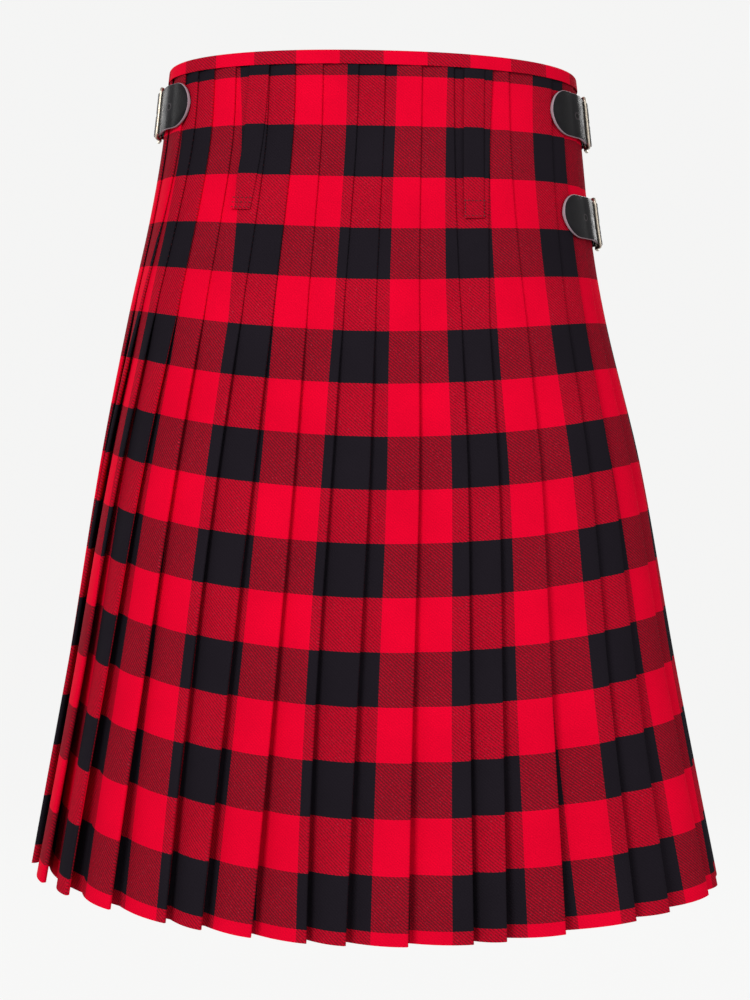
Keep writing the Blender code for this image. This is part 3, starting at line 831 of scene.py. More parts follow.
HOLE_SLOT = 1.6  # half the width of the slot that a prong goes through
HOLE_START, HOLE_END = -3.5, 6.0  # its ends, forward from the buckle's middle
THROUGH_SLIT = 34.5  # past this the inner apron's strap lies behind the outer apron
ON_APRON = 25.0  # past this an outer strap lies flat
BEND_EASE = 1.4  # half the length of a rounded bend
FRAME_HALF_HEIGHT = STRAP_WIDTH / 2 + 1 + FRAME_BAR / 2
FRAME_CORNER = 3.2  # radius of the frame's corners
CORNER_STEPS, BAR_STEPS = 6, 8  # round a corner and along a straight bar

# Forward from the buckle's middle, and how far out the strap's middle lies
STRAP_BENDS = ((-40.0, REST_OUT), (-33.0, ON_CHAPE), (-9.5, ON_CHAPE), (-3.5, OVER_ROLL - 0.4),
               (0.0, OVER_ROLL), (2.4, OVER_ROLL - 0.5), (6.0, 4.6), (9.2, REST_OUT),
               (25.5, REST_OUT))


def on_fastener(fastener):
    """A function placing (forward, up, out) in mm from the buckle's middle."""
    mm_per_turn = ring_at(fastener.along).mm_per_turn

    def place(forward, up, out):
        turn = fastener.side * (BUCKLE_TURN + forward / mm_per_turn)
        return point_at(round(fastener.along - up, 3), turn, out)
    return place


def strap_out(fastener, forward):
    """How far out the strap's middle lies, rounded at its bends."""
    ends = ((THROUGH_SLIT, UNDER_OUT), (UNDER_STRAP_BASE, UNDER_OUT)) if fastener.side < 0 else ()
    bends = STRAP_BENDS + ends
    near = forward + np.linspace(-BEND_EASE, BEND_EASE, 9)
    return float(np.mean(np.interp(near, *zip(*bends))))


STRIP_LINES = 10  # of points across a strip
# Across half a strip, from its edge in: the thin skin's share of the way to the full one
STRIP_EDGE = (0.0, 0.68, 1.0, 1.0, 1.0)
STRIP_THIN = 0.2  # the thin skin lies this share of the thickness from the middle
NARROW_STRIP = (1, 0.94, 0.8, 0.55, 0.3)  # places of the points where it is narrow
STRAP_INSET = 0.8  # how far in the rounded edge reaches
CHAPE_INSET = 0.6
TIP_STEPS = 12  # round a strap's tip
TIP_HALF = 0.9  # half the width where its round begins
TIP_SPACING = 1.5  # between points from the tip to the bends
BEND_SPACING = 0.5  # over the buckle
FLAT_SPACING = 2.0  # and along the apron
BENDS_FROM, BENDS_TO = -10.0, 12.0
FLAT_STEPS = 14  # along a chape's flat part
ROLL_STEP = 15  # degrees between points round its roll


def strip_ups(half, inset):
    """The places of a strip's lines of points across it."""
    hole = min(HOLE_SLOT, half * 0.3)
    ups = (-half, -half + inset * 0.3, -half + inset, -half * 0.5, -hole)
    if half < 3 * inset:
        ups = tuple(-half * share for share in NARROW_STRIP)
    return ups + tuple(-up for up in reversed(ups))


def strip(name, fastener, line, halves, inset, thickness, material, slot=None):
    """A leather strip with rounded long edges. line is (forward, out) of its middle."""
    place = on_fastener(fastener)
    forwards, outs = zip(*line)
    last = STRIP_LINES - 1
    grids = []
    for hand in (thickness, -thickness):
        moved = list(zip(*moved_aside(forwards, outs, hand / 2)))
        thin = list(zip(*moved_aside(forwards, outs, hand * STRIP_THIN)))
        rows = [[] for _ in range(STRIP_LINES)]
        for full, low, half in zip(moved, thin, halves):
            for row, up in enumerate(strip_ups(half, inset)):
                share = STRIP_EDGE[min(row, last - row)]
                forward = low[0] + (full[0] - low[0]) * share
                out = low[1] + (full[1] - low[1]) * share
                rows[last - row].append((forward, up, out))
        grids.append(rows)
    points = [np.array([[place(*p) for p in row] for row in rows]) for rows in grids]
    tip = -forwards[0]
    uv = np.array([[(forward + tip, up) for (forward, up, _) in row] for row in grids[0]]) * MM
    cut = np.zeros((last, len(line) - 1), bool)
    if slot:
        cut[last // 2] = [slot[0] <= forward < slot[1] for forward in forwards[:-1]]
    if fastener.side < 0:
        points = [grid[:, ::-1] for grid in points]
        uv, cut = uv[:, ::-1], cut[:, ::-1]
    return wall(name, points[0], points[1], uv, uv, material, cut)


def make_straps(material):
    """Each runs from its round tip, over the buckle, to its sewn end."""
    radius = STRAP_WIDTH / 2
    for fastener in FASTENERS:
        base = STRAP_BASE if fastener.side > 0 else UNDER_STRAP_BASE
        quarters = [math.pi / 2 * k / TIP_STEPS for k in range(TIP_STEPS + 1)]
        forwards = [radius * (1 - math.cos(angle)) - fastener.tip for angle in quarters]
        start = radius - fastener.tip + TIP_SPACING
        for low, high, step in ((start, BENDS_FROM, TIP_SPACING),
                                (BENDS_FROM, BENDS_TO, BEND_SPACING),
                                (BENDS_TO + BEND_SPACING, base, FLAT_SPACING)):
            forwards += list(np.arange(low, high, step))
        forwards.append(base)
        line = [(f, strap_out(fastener, f)) for f in forwards]
        if fastener.side > 0:
            line = [(f, out if f < ON_APRON else REST_OUT) for f, out in line]
        halves = []
        for forward in forwards:
            from_tip = min(max(forward + fastener.tip, 0.0), radius)
            halves.append(max(math.sqrt(radius**2 - (radius - from_tip) ** 2), TIP_HALF))
        piece = strip("strap_leather_" + fastener.name, fastener, line, halves, STRAP_INSET,
                      STRAP_WALL, material, (HOLE_START, HOLE_END))
        uv = np.empty(len(piece.data.loops) * 2)
        piece.data.uv_layers[0].data.foreach_get("uv", uv)
        uv[0::2] -= fastener.hole * MM
        piece.data.uv_layers.new(name="hole").data.foreach_set("uv", uv)
        keep(piece, "black_leather", "strap_" + fastener.name)


def make_chapes(material):
    """Each lies flat on the cloth and is rolled round its buckle's centre bar."""
    flat, radius = CLOTH_SKIN + CHAPE_WALL / 2, ROLL - CHAPE_WALL / 2
    line = [(float(forward), flat) for forward in np.linspace(-CHAPE_LENGTH, -1.0, FLAT_STEPS)]
    for degrees in range(-90, 181, ROLL_STEP):
        angle = math.radians(degrees)
        line.append((radius * math.cos(angle), CENTRE_OUT + radius * math.sin(angle)))
    halves = [CHAPE_WIDTH / 2] * len(line)
    for fastener in FASTENERS:
        piece = strip("chape_leather_" + fastener.name, fastener, line, halves, CHAPE_INSET,
                      CHAPE_WALL, material)
        keep(piece, "black_leather", "chape_" + fastener.name)


def bar(path, plane, wide, thick, closed=False, sides=14, power=2.8):
    """Points and faces of a bar of rounded section along a path; plane is its broad way."""
    verts, faces = [], []
    count = len(path)
    for k, point in enumerate(path):
        before = path[(k - 1) % count] if closed else path[max(k - 1, 0)]
        after = path[(k + 1) % count] if closed else path[min(k + 1, count - 1)]
        along = (after - before).normalized()
        broad = (plane[k] - along * plane[k].dot(along)).normalized()
        high = along.cross(broad)
        for n in range(sides):
            angle = 2 * math.pi * n / sides
            c, s = math.cos(angle), math.sin(angle)
            reach = (abs(c) ** power + abs(s) ** power) ** (-1 / power)
            verts.append(point + (broad * c * wide[k] + high * s * thick[k]) * (reach / 2 * MM))
    for k in range(count if closed else count - 1):
        for n in range(sides):
            a, b = k * sides + n, k * sides + (n + 1) % sides
            c = (k + 1) % count * sides
            faces.append((a, b, c + (n + 1) % sides, c + n))
    if not closed:
        faces.append(tuple(reversed(range(sides))))
        faces.append(tuple(range(len(verts) - sides, len(verts))))
    return verts, faces


def frame_path(place):
    """Round the frame, with its broad way; its outer bars stand proud of the centre bar."""
    reach, high, corner = FRAME_HALF_LENGTH, FRAME_HALF_HEIGHT, FRAME_CORNER
    arcs = []
    for quarter, (fx, fy) in enumerate(((1, 1), (-1, 1), (-1, -1), (1, -1))):
        angles = [math.radians(90 * (quarter + step / CORNER_STEPS))
                  for step in range(CORNER_STEPS + 1)]
        arcs.append([(fx * (reach - corner) + corner * math.cos(angle),
                      fy * (high - corner) + corner * math.sin(angle)) for angle in angles])
    flat = []
    for arc, following in zip(arcs, arcs[1:] + arcs[:1]):
        (xa, ya), (xb, yb) = arc[-1], following[0]
        flat += arc
        flat += [(xa + (xb - xa) * k / BAR_STEPS, ya + (yb - ya) * k / BAR_STEPS)
                 for k in range(1, BAR_STEPS)]
    path, plane = [], []
    for forward, up in flat:
        share = smooth(abs(forward) / reach)
        out = CENTRE_OUT + (OUTER_BAR_OUT - CENTRE_OUT) * share
        path.append(place(forward, up, out))
        outward = 1 + 0.18 / math.hypot(forward, up)
        plane.append((place(forward * outward, up * outward, out) - path[-1]).normalized())
    return path, plane


def metal_piece(name, parts, material, node):
    """One mesh of several bars."""
    verts, faces = [], []
    for some, some_faces in parts:
        faces += [tuple(k + len(verts) for k in face) for face in some_faces]
        verts += some
    piece = join(name, verts, faces, None, material, 60)
    made = bmesh.new()
    made.from_mesh(piece.data)
    bmesh.ops.recalc_face_normals(made, faces=made.faces)
    made.to_mesh(piece.data)
    made.free()
    keep(piece, "buckle_metal", node)


def frame_and_bar(place):
    """The buckle's oblong frame and the bar across its middle."""
    path, plane = frame_path(place)
    rim = bar(path, plane, [FRAME_BAR] * len(path), [FRAME_WALL] * len(path), closed=True)
    ups = np.linspace(-FRAME_HALF_HEIGHT, FRAME_HALF_HEIGHT, BAR_STEPS + 1)
    middle = [place(0.0, float(up), CENTRE_OUT) for up in ups]
    facing = [place(1.0, float(up), CENTRE_OUT) - p for up, p in zip(ups, middle)]
    sizes = [CENTRE_BAR] * len(middle)
    return [rim, bar(middle, facing, sizes, sizes)]


def prong(place):
    """Hooked round the centre bar and laid on the outer bar, thinner towards its tip."""
    hook = CENTRE_BAR * math.sqrt(0.5) + SEAM + PRONG_RADIUS
    rest = OUTER_BAR_OUT + FRAME_WALL / 2 + SEAM + PRONG_RADIUS
    flat = [(hook * math.cos(math.radians(d)), CENTRE_OUT + hook * math.sin(math.radians(d)))
            for d in range(180, 100, -10)]
    flat += [(HOLE_END * 0.7, rest - 0.9), (HOLE_END, rest - 0.5), (8.5, rest - 0.1),
             (FRAME_HALF_LENGTH, rest), (FRAME_HALF_LENGTH + 1.9, rest - 0.05)]
    line = [place(forward, 0.0, out) for forward, out in flat]
    across = [place(forward, 1.0, out) - p for (forward, out), p in zip(flat, line)]
    wide = [PRONG_RADIUS * 2 * (1 - PRONG_TAPER * k / len(line)) for k in range(len(line))]
    return bar(line, across, wide, wide, power=2.0)


def make_buckles(material):
    """A frame with its bar, and a prong, for each strap."""
    for fastener in FASTENERS:
        place, name = on_fastener(fastener), fastener.name
        metal_piece("buckle_metal_" + name, frame_and_bar(place), material, "buckle_" + name)
        metal_piece("prong_metal_" + name, [prong(place)], material, "prong_" + name)


# ---------------------------------------------------------------- stitches

class Seam(NamedTuple):
    spacing: float  # metres, like the rest
    length: float
    thickness: float


PLEAT_THREAD = 0.00045
LOOP_SEAM = Seam(0.0026, 0.0020, 0.0006)
STRAP_SEAM = Seam(0.0034, 0.0026, 0.0008)
STITCH_SEED = 7
STITCH_VARIETY = (0.8, 1.12)  # shortest and longest stitch, as shares of the length

STITCH_NODES = {
    "in": "NodeGroupInput", "out": "NodeGroupOutput",
    "curve": "GeometryNodeMeshToCurve", "resample": "GeometryNodeResampleCurve",
    "thread": "GeometryNodeMeshUVSphere", "tangent": "GeometryNodeInputTangent",
    "align": "FunctionNodeAlignRotationToVector", "place": "GeometryNodeInstanceOnPoints",
    "size": "ShaderNodeCombineXYZ", "vary": "FunctionNodeRandomValue",
    "longer": "ShaderNodeMath", "realise": "GeometryNodeRealizeInstances",
    "paint": "GeometryNodeSetMaterial", "shade": "GeometryNodeSetShadeSmooth",
}

# From a node's output to another node's input
STITCH_LINKS = (
    ("in", "Paths", "curve", "Mesh"), ("curve", "Curve", "resample", "Curve"),
    ("in", "Spacing", "resample", "Length"), ("resample", "Curve", "place", "Points"),
    ("thread", "Mesh", "place", "Instance"), ("tangent", "Tangent", "align", "Vector"),
    ("align", "Rotation", "place", "Rotation"), ("in", "Seed", "vary", "Seed"),
    ("in", "Length", "longer", 0), ("vary", 1, "longer", 1), ("longer", "Value", "size", "X"),
    ("in", "Thickness", "size", "Y"), ("in", "Thickness", "size", "Z"),
    ("size", "Vector", "place", "Scale"), ("place", "Instances", "realise", "Geometry"),
    ("realise", "Geometry", "shade", "Geometry"), ("shade", "Geometry", "paint", "Geometry"),
    ("paint", "Geometry", "out", "Stitches"),
)


def stitch_tree(material):
    """Stitches laid along the paths of a mesh of edges, each a rounded length of thread."""
    tree = bpy.data.node_groups.new("stitches_along_paths", "GeometryNodeTree")
    face = tree.interface
    face.new_socket("Paths", in_out="INPUT", socket_type="NodeSocketGeometry")
    for label in Seam._fields:
        face.new_socket(label.capitalize(), in_out="INPUT", socket_type="NodeSocketFloat")
    face.new_socket("Seed", in_out="INPUT", socket_type="NodeSocketInt")
    face.new_socket("Stitches", in_out="OUTPUT", socket_type="NodeSocketGeometry")
    node = {label: tree.nodes.new(kind) for label, kind in STITCH_NODES.items()}
    node["resample"].mode = "LENGTH"
    node["align"].axis = "X"
    node["vary"].data_type = "FLOAT"
    node["longer"].operation = "MULTIPLY"
    for label, key, value in (("thread", "Segments", 8), ("thread", "Rings", 5),
                              ("thread", "Radius", 0.5), ("vary", 2, STITCH_VARIETY[0]),
                              ("vary", 3, STITCH_VARIETY[1]), ("paint", "Material", material)):
        node[label].inputs[key].default_value = value
    for source, output, target, place in STITCH_LINKS:
        tree.links.new(node[source].outputs[output], node[target].inputs[place])
    return tree


def stitch(name, paths, tree, slot, seam):
    """A plain mesh of stitches along these paths of points."""
    verts, edges = [], []
    for path in paths:
        edges += [(len(verts) + k, len(verts) + k + 1) for k in range(len(path) - 1)]
        verts += [tuple(point) for point in path]
    guide = bpy.data.meshes.new(name + "_paths")
    guide.from_pydata(verts, edges, [])
    carrier = bpy.data.objects.new(name + "_paths", guide)
    bpy.context.scene.collection.objects.link(carrier)
    modifier = carrier.modifiers.new("Stitches", "NODES")
    modifier.node_group = tree
    values = {label.capitalize(): value for label, value in seam._asdict().items()}
    values["Seed"] = STITCH_SEED
    for item in tree.interface.items_tree:
        if item.item_type == "SOCKET" and item.in_out == "INPUT" and item.name in values:
            modifier[item.identifier] = values[item.name]
    graph = bpy.context.evaluated_depsgraph_get()
    mesh = bpy.data.meshes.new_from_object(carrier.evaluated_get(graph))
    mesh.name = name
    carrier.modifiers.remove(modifier)
    bpy.data.objects.remove(carrier)
    piece = bpy.data.objects.new(name, mesh)
    bpy.context.scene.collection.objects.link(piece)
    keep(piece, slot)


# Where the seams lie
FOLD_SEAM_PAST = 2.0  # they start below the band and end below the fell by this much
FOLD_SEAM_POINTS = 60
FOLD_SEAM_ASIDE = 0.25  # from the fold's edge, and how far out
FOLD_SEAM_OUT = -0.75
TACK_ROWS = ((106.0, 109.5, 113.0), (105.0, 116.0))  # on each loop; two make a box
TACK_INSET = (2.0, 1.0)  # both sides together, for rows and for a box
BOX_INSET = 3.2  # from the strap's long edges
BOX_ENDS = (3, 27)  # from the strap's sewn end
BOX_POINTS = 9  # along each side of a box


def fold_paths():
    """Down each stitched fold, in the crease beside its edge."""
    paths = []
    for number in range(2, LAST):
        path = []
        for along in np.linspace(BAND_HEIGHT + FOLD_SEAM_PAST, FELL + FOLD_SEAM_PAST,
                                 FOLD_SEAM_POINTS):
            along = round(float(along), 3)
            turn = (fold_mm(number, along) + FOLD_SEAM_ASIDE) / ring_at(along).mm_per_turn
            path.append(point_at(along, turn, FOLD_SEAM_OUT))
        paths.append(path)
    return paths


def tack_paths():
    """Tacks at the belt loops' feet: rows on one, a box on the other."""
    paths = []
    for loop, levels in zip(LOOPS, TACK_ROWS):
        boxed = len(levels) == 2
        rows = []
        for along in levels:
            mm_per_turn = ring_at(along).mm_per_turn
            share = (along - LOOP_TOP) / (LOOP_END - LOOP_TOP)
            middle = loop.top + (loop.end - loop.top) * share
            sideways = np.linspace(-0.5, 0.5, 9) * (LOOP_WIDTH - TACK_INSET[boxed])
            rows.append([point_at(along, middle + s / mm_per_turn, TACK_OUT) for s in sideways])
        paths += rows
        if boxed:
            for end in (0, -1):
                paths.append([rows[0][end].lerp(rows[1][end], k / 6) for k in range(7)])
    return paths


def box_paths():
    """The seams that hold the outer straps' ends to the apron."""
    paths = []
    out = REST_OUT + STRAP_WALL / 2 + 0.05
    half = STRAP_WIDTH / 2 - BOX_INSET
    near, far = STRAP_BASE - BOX_ENDS[0], STRAP_BASE - BOX_ENDS[1]
    corners = [(near, -half), (near, half), (far, half), (far, -half), (near, -half), (far, half)]
    for fastener in FASTENERS:
        if fastener.side < 0:
            continue
        place = on_fastener(fastener)
        for (fa, ua), (fb, ub) in zip(corners, corners[1:]):
            paths.append([place(fa + (fb - fa) * share, ua + (ub - ua) * share, out)
                          for share in np.linspace(0, 1, BOX_POINTS)])
    return paths


# ---------------------------------------------------------------- materials

class Nodes:
    """Short ways to add nodes to one tree."""

    def __init__(self, tree):
        self.tree = tree

    def add(self, kind, inputs=(), **settings):
        node = self.tree.nodes.new(kind)
        for key, value in settings.items():
            setattr(node, key, value)
        for key, value in dict(inputs).items():
            self.put(value, node.inputs[key])
        return node

    def put(self, value, socket):
        if isinstance(value, bpy.types.NodeSocket):
            self.tree.links.new(value, socket)
        else:
            socket.default_value = value

    def math(self, operation, *values):
        inputs = dict(enumerate(values))
        return self.add("ShaderNodeMath", inputs, operation=operation).outputs[0]

    def mix(self, share, a, b, blend="MIX"):
        node = self.add("ShaderNodeMix", data_type="RGBA", blend_type=blend)
        for value, key in ((share, 0), (a, 6), (b, 7)):
            self.put(value, node.inputs[key])
        return node.outputs[2]

    def noise(self, vector, scale, detail=3.0, roughness=0.55):
        inputs = {"Vector": vector, "Scale": scale, "Detail": detail, "Roughness": roughness}
        return self.add("ShaderNodeTexNoise", inputs).outputs["Fac"]

    def ramp(self, value, low, high, to_low=0.0, to_high=1.0):
        inputs = dict(enumerate((value, low, high, to_low, to_high)))
        return self.add("ShaderNodeMapRange", inputs, clamp=True).outputs[0]

    def split(self, vector):
        return self.add("ShaderNodeSeparateXYZ", {0: vector}).outputs

    def body(self):
        """A place on the piece, in metres."""
        return self.add("ShaderNodeTexCoord").outputs["Object"]

    def uv(self, name):
        return self.add("ShaderNodeUVMap", uv_map=name).outputs["UV"]

    def distance(self, x, y):
        squares = [self.math("POWER", value, 2.0) for value in (x, y)]
        return self.math("SQRT", self.math("ADD", *squares))

    def bump(self, height, strength, distance, **more):
        inputs = {"Height": height, "Strength": strength, "Distance": distance, **more}
        return self.add("ShaderNodeBump", inputs).outputs[0]


def twill_group():
    """Masks at a place in the check: black yarn, the twill's ribs, and where both yarns show."""
    tree = bpy.data.node_groups.new("kilt_twill", "ShaderNodeTree")
    face = tree.interface
    face.new_socket("Place", in_out="INPUT", socket_type="NodeSocketVector")
    face.new_socket("Twill period", in_out="INPUT", socket_type="NodeSocketFloat")
    for label in ("Black", "Rib", "Mixed"):
        face.new_socket(label, in_out="OUTPUT", socket_type="NodeSocketFloat")
    n = Nodes(tree)
    given, result = n.add("NodeGroupInput"), n.add("NodeGroupOutput")
    x, y, _ = n.split(given.outputs["Place"])
    u, v, period = [n.math("MULTIPLY", value, 1 / MM)
                    for value in (x, y, given.outputs["Twill period"])]
    column = n.math("LESS_THAN", n.math("FRACT", n.math("DIVIDE", u, 2 * STRIPE)), 0.5)
    rows = n.math("DIVIDE", n.math("SUBTRACT", v, FIRST_ROW), 2 * ROW)
    row = n.math("LESS_THAN", n.math("FRACT", rows), 0.5)
    slant = n.math("SUBTRACT", u, n.math("MULTIPLY", v, SLANT))
    stray = n.ramp(n.noise(given.outputs["Place"], 1100.0, 1.0), 0.3, 0.7, -WANDER, WANDER)
    step = n.math("FRACT", n.math("DIVIDE", n.math("ADD", slant, stray), period))
    off = n.math("ABSOLUTE", n.math("SUBTRACT", step, 0.5))
    half = MIXED_CONTRAST / 2
    weft = n.ramp(off, WEFT_SHARE / 2 - RIB_EDGE, WEFT_SHARE / 2 + RIB_EDGE,
                  WEFT_SHARE + half * (1 - WEFT_SHARE) * 2, WEFT_SHARE - half * WEFT_SHARE * 2)
    black = n.math("ADD", n.math("MULTIPLY", row, weft),
                   n.math("MULTIPLY", column, n.math("SUBTRACT", 1.0, weft)))
    rib = n.math("PINGPONG", n.math("MULTIPLY", step, 2.0), 1.0)
    mixed = n.math("ABSOLUTE", n.math("SUBTRACT", row, column))
    for label, value in (("Black", black), ("Rib", rib), ("Mixed", mixed)):
        n.put(value, result.inputs[label])
    return tree


def new_material(name, surface):
    """A material with its nodes and a function that sets its surface's inputs."""
    material = bpy.data.materials.new(name)
    material.use_nodes = True
    material.diffuse_color = (*surface, 1.0)
    n = Nodes(material.node_tree)
    shader = material.node_tree.nodes["Principled BSDF"]

    def surface_is(**inputs):
        for label, value in inputs.items():
            n.put(value, shader.inputs[label.replace("_", " ")])
    return material, n, surface_is


LINT = (0.55, 0.10, 0.15, 1)
WORN_LEATHER = (0.013, 0.012, 0.014, 1)
HOLE_SHADE = (0.002, 0.002, 0.002, 1)
THREAD_LIGHT = (0.20, 0.006, 0.014, 1)
PAPER_GLOW = (1.0, 1.0, 0.995, 1)
PAPER_LIGHT = (0.5, 0.896)  # as the pieces see it, and as the camera does
# Radii of a strap's painted hole and of the painted glint on its lip, and how far in the pale cut
# edge, partly a painted highlight, reaches, in metres
HOLE_RADII = (0.0017, 0.0020)
LIP_GLINT_RADII = (0.0019, 0.0022, 0.0024, 0.0031)
RIM_DEPTHS = (0.0005, 0.0002)


def wool_twill(colours, sizes):
    material, n, surface_is = new_material("red_black_wool_twill", colours.red)
    place, body = n.uv("check"), n.body()
    group = n.add("ShaderNodeGroup", node_tree=twill_group())
    n.put(place, group.inputs["Place"])
    n.put(sizes.twill_period, group.inputs["Twill period"])
    rib, mixed = group.outputs["Rib"], group.outputs["Mixed"]
    yarn = n.mix(group.outputs["Black"], (*colours.red, 1), (*colours.black, 1))
    cloudy = n.ramp(n.noise(body, 22.0), 0.3, 0.7, 0.93, 1.05)
    fibres = n.ramp(n.noise(place, 1400.0, 2.0), 0.3, 0.7, 0.86, 1.1)
    # Painted shade: cells where both yarns show are darkened for the shade in the gaps between the
    # yarns, and each twill rib is lighter on its ridge and darker in its groove; cloudy and fibres
    # are the wool's own uneven tone
    gap_shade = n.ramp(mixed, 0, 1, 1.0, 0.84)
    light = n.math("MULTIPLY", n.math("MULTIPLY", cloudy, fibres),
                   n.math("MULTIPLY", gap_shade, n.ramp(rib, 0, 1, 0.93, 1.04)))
    shade = n.add("ShaderNodeCombineColor", {0: light, 1: light, 2: light}).outputs[0]
    yarn = n.mix(1.0, yarn, shade, "MULTIPLY")
    lint = n.ramp(n.noise(place, 900.0, 2.0, 0.7), 0.63, 0.72, 0.0, 0.35)
    yarn = n.mix(n.math("MULTIPLY", lint, mixed), yarn, LINT)
    height = n.math("ADD", n.math("MULTIPLY", rib, 0.6), n.noise(place, 1800.0, 2.0))
    weave = n.bump(height, 0.3, 0.0004)
    surface_is(Base_Color=yarn, Roughness=0.88, Specular_IOR_Level=0.02,
               Normal=n.bump(n.noise(body, 60.0), 0.25, 0.0015, Normal=weave))
    return material


def strap_leather(colours):
    material, n, surface_is = new_material("black_strap_leather", colours.leather)
    body, edge_and_highlight = n.body(), (*colours.rim, 1)
    x, y, _ = n.split(n.uv("check"))
    radius = STRAP_WIDTH / 2 * MM
    reach = n.distance(n.math("MAXIMUM", n.math("SUBTRACT", radius, x), 0.0), y)
    # The pale rim round a strap's tip is the cut edge's own colour and partly a painted highlight
    rim = n.ramp(reach, radius - RIM_DEPTHS[0], radius - RIM_DEPTHS[1])
    hx, hy, _ = n.split(n.uv("hole"))
    gap = n.distance(hx, hy)
    # Painted shade and glint: a dark disc with a sunken bump stands for a punched hole, and the
    # leather is not cut there; a faint painted glint rings its lip
    punched = n.ramp(gap, *HOLE_RADII, 1.0, 0.0)
    lip_glint = n.math("MULTIPLY", n.ramp(gap, *LIP_GLINT_RADII[:2]), n.ramp(gap, *LIP_GLINT_RADII[2:], 1.0, 0.0))
    grain = n.add("ShaderNodeTexVoronoi", {"Vector": body, "Scale": 1500.0})
    worn = n.noise(body, 90.0, 4.0)
    base = n.mix(n.ramp(worn, 0.4, 0.7), (*colours.leather, 1), WORN_LEATHER)
    base = n.mix(n.math("MULTIPLY", lip_glint, 0.12), base, edge_and_highlight)
    base = n.mix(rim, base, edge_and_highlight)
    height = n.math("SUBTRACT", n.math("MULTIPLY", grain.outputs["Distance"], 0.4),
                    n.math("MULTIPLY", punched, 4.0))
    surface_is(Base_Color=n.mix(punched, base, HOLE_SHADE), Specular_IOR_Level=0.1,
               Roughness=n.ramp(worn, 0.3, 0.7, 0.34, 0.5), Normal=n.bump(height, 0.3, 0.0003))
    return material


def buckle_metal(colours):
    material, n, surface_is = new_material("nickel_plate", colours.metal)
    rubbed = n.noise(n.body(), 260.0, 5.0)
    surface_is(Base_Color=(*colours.metal, 1), Metallic=1.0,
               Roughness=n.ramp(rubbed, 0.3, 0.7, 0.38, 0.5),
               Normal=n.bump(rubbed, 0.02, 0.0001))
    return material


def sewing_thread(colours):
    material, n, surface_is = new_material("dark_thread", colours.thread)
    twist = n.ramp(n.noise(n.body(), 2500.0, 1.0), 0.3, 0.7)
    surface_is(Base_Color=n.mix(twist, (*colours.thread, 1), THREAD_LIGHT), Roughness=0.7)
    return material


def studio_paper(colours):
    material, n, surface_is = new_material("studio_paper", colours.studio)
    tone = n.ramp(n.noise(n.body(), 0.8), 0.3, 0.7)
    darker = (*[c * 0.99 for c in colours.studio], 1)
    seen = n.add("ShaderNodeLightPath").outputs["Is Camera Ray"]
    surface_is(Base_Color=n.mix(tone, (*colours.studio, 1), darker), Roughness=0.95,
               Emission_Color=PAPER_GLOW, Specular_IOR_Level=0.1,
               Emission_Strength=n.ramp(seen, 0, 1, *PAPER_LIGHT))
    return material


MATERIALS = {}


def material_of(name):
    """Each material is made once, when a piece first asks for it."""
    if name not in MATERIALS:
        scene = bpy.context.scene
        colours, sizes = scene.kilt_colours, scene.kilt_sizes
        makers = {"leather": strap_leather, "metal": buckle_metal, "thread": sewing_thread,
                  "studio": studio_paper}
        made = wool_twill(colours, sizes) if name == "wool" else makers[name](colours)
        MATERIALS[name] = made
    return MATERIALS[name]


# ---------------------------------------------------------------- the studio

FLOOR = -1.1  # metres: a kilt's hem is worn half a metre above the floor
STUDIO_RADIUS = 5.0
STUDIO_TOP = 3.6
STUDIO_BEND = 1.6  # radius of the curve from floor to backdrop
STUDIO_SIDES = 96
BOWL_STEPS = 12  # along that curve
AIR_LIGHT = 0.45
LIGHT_TARGET = (0.0, 0.0, -0.3)

# Place, width and height in metres, and watts
LIGHTS = {
    "key_light": ((-1.5, -2.9, 0.9), 1.2, 1.2, 61),
    "fill_light": ((2.1, -2.4, 0.2), 1.6, 2.0, 20),
    "front_key_light": ((1.1, 3.0, 0.9), 1.6, 1.6, 40),
    "front_fill_light": ((-2.1, 2.4, 0.2), 1.6, 2.0, 22),
}


def make_bowl(material):
    """A round floor that curves up into a backdrop on every side."""
    profile = [(1.2, FLOOR), (2.4, FLOOR)]
    for k in range(BOWL_STEPS + 1):
        angle = math.pi / 2 * k / BOWL_STEPS
        profile.append((STUDIO_RADIUS - STUDIO_BEND + STUDIO_BEND * math.sin(angle),
                        FLOOR + STUDIO_BEND - STUDIO_BEND * math.cos(angle)))
    profile += [(STUDIO_RADIUS, 1.8), (STUDIO_RADIUS, STUDIO_TOP)]
    sides = STUDIO_SIDES
    angles = [2 * math.pi * n / sides for n in range(sides)]
    verts = [(r * math.cos(a), r * math.sin(a), z) for r, z in profile for a in angles]
    faces = []
    for k in range(len(profile) - 1):
        for n in range(sides):
            a, b = k * sides + n, k * sides + (n + 1) % sides
            faces.append((a, b, b + sides, a + sides))
    faces += [(len(verts), n, (n + 1) % sides) for n in range(sides)]
    floor = join("studio_floor", verts + [(0.0, 0.0, FLOOR)], faces, None, material)


def to_scene(item, place, rotation):
    """Put a lamp or a camera in the scene."""
    holder = bpy.data.objects.new(item.name, item)
    holder.location, holder.rotation_euler = place, rotation
    bpy.context.scene.collection.objects.link(holder)
    return holder


def make_lights():
    world = bpy.data.worlds.new("studio_air")
    world.use_nodes = True
    air = world.node_tree.nodes["Background"].inputs
    air["Color"].default_value = (1.0, 1.0, 1.0, 1.0)
    air["Strength"].default_value = AIR_LIGHT
    bpy.context.scene.world = world
    for name, (place, width, height, watts) in LIGHTS.items():
        lamp = bpy.data.lights.new(name, "AREA")
        lamp.shape, lamp.size, lamp.size_y, lamp.energy = "RECTANGLE", width, height, watts
        aim = (Vector(LIGHT_TARGET) - Vector(place)).to_track_quat("-Z", "Y")
        to_scene(lamp, place, aim.to_euler())


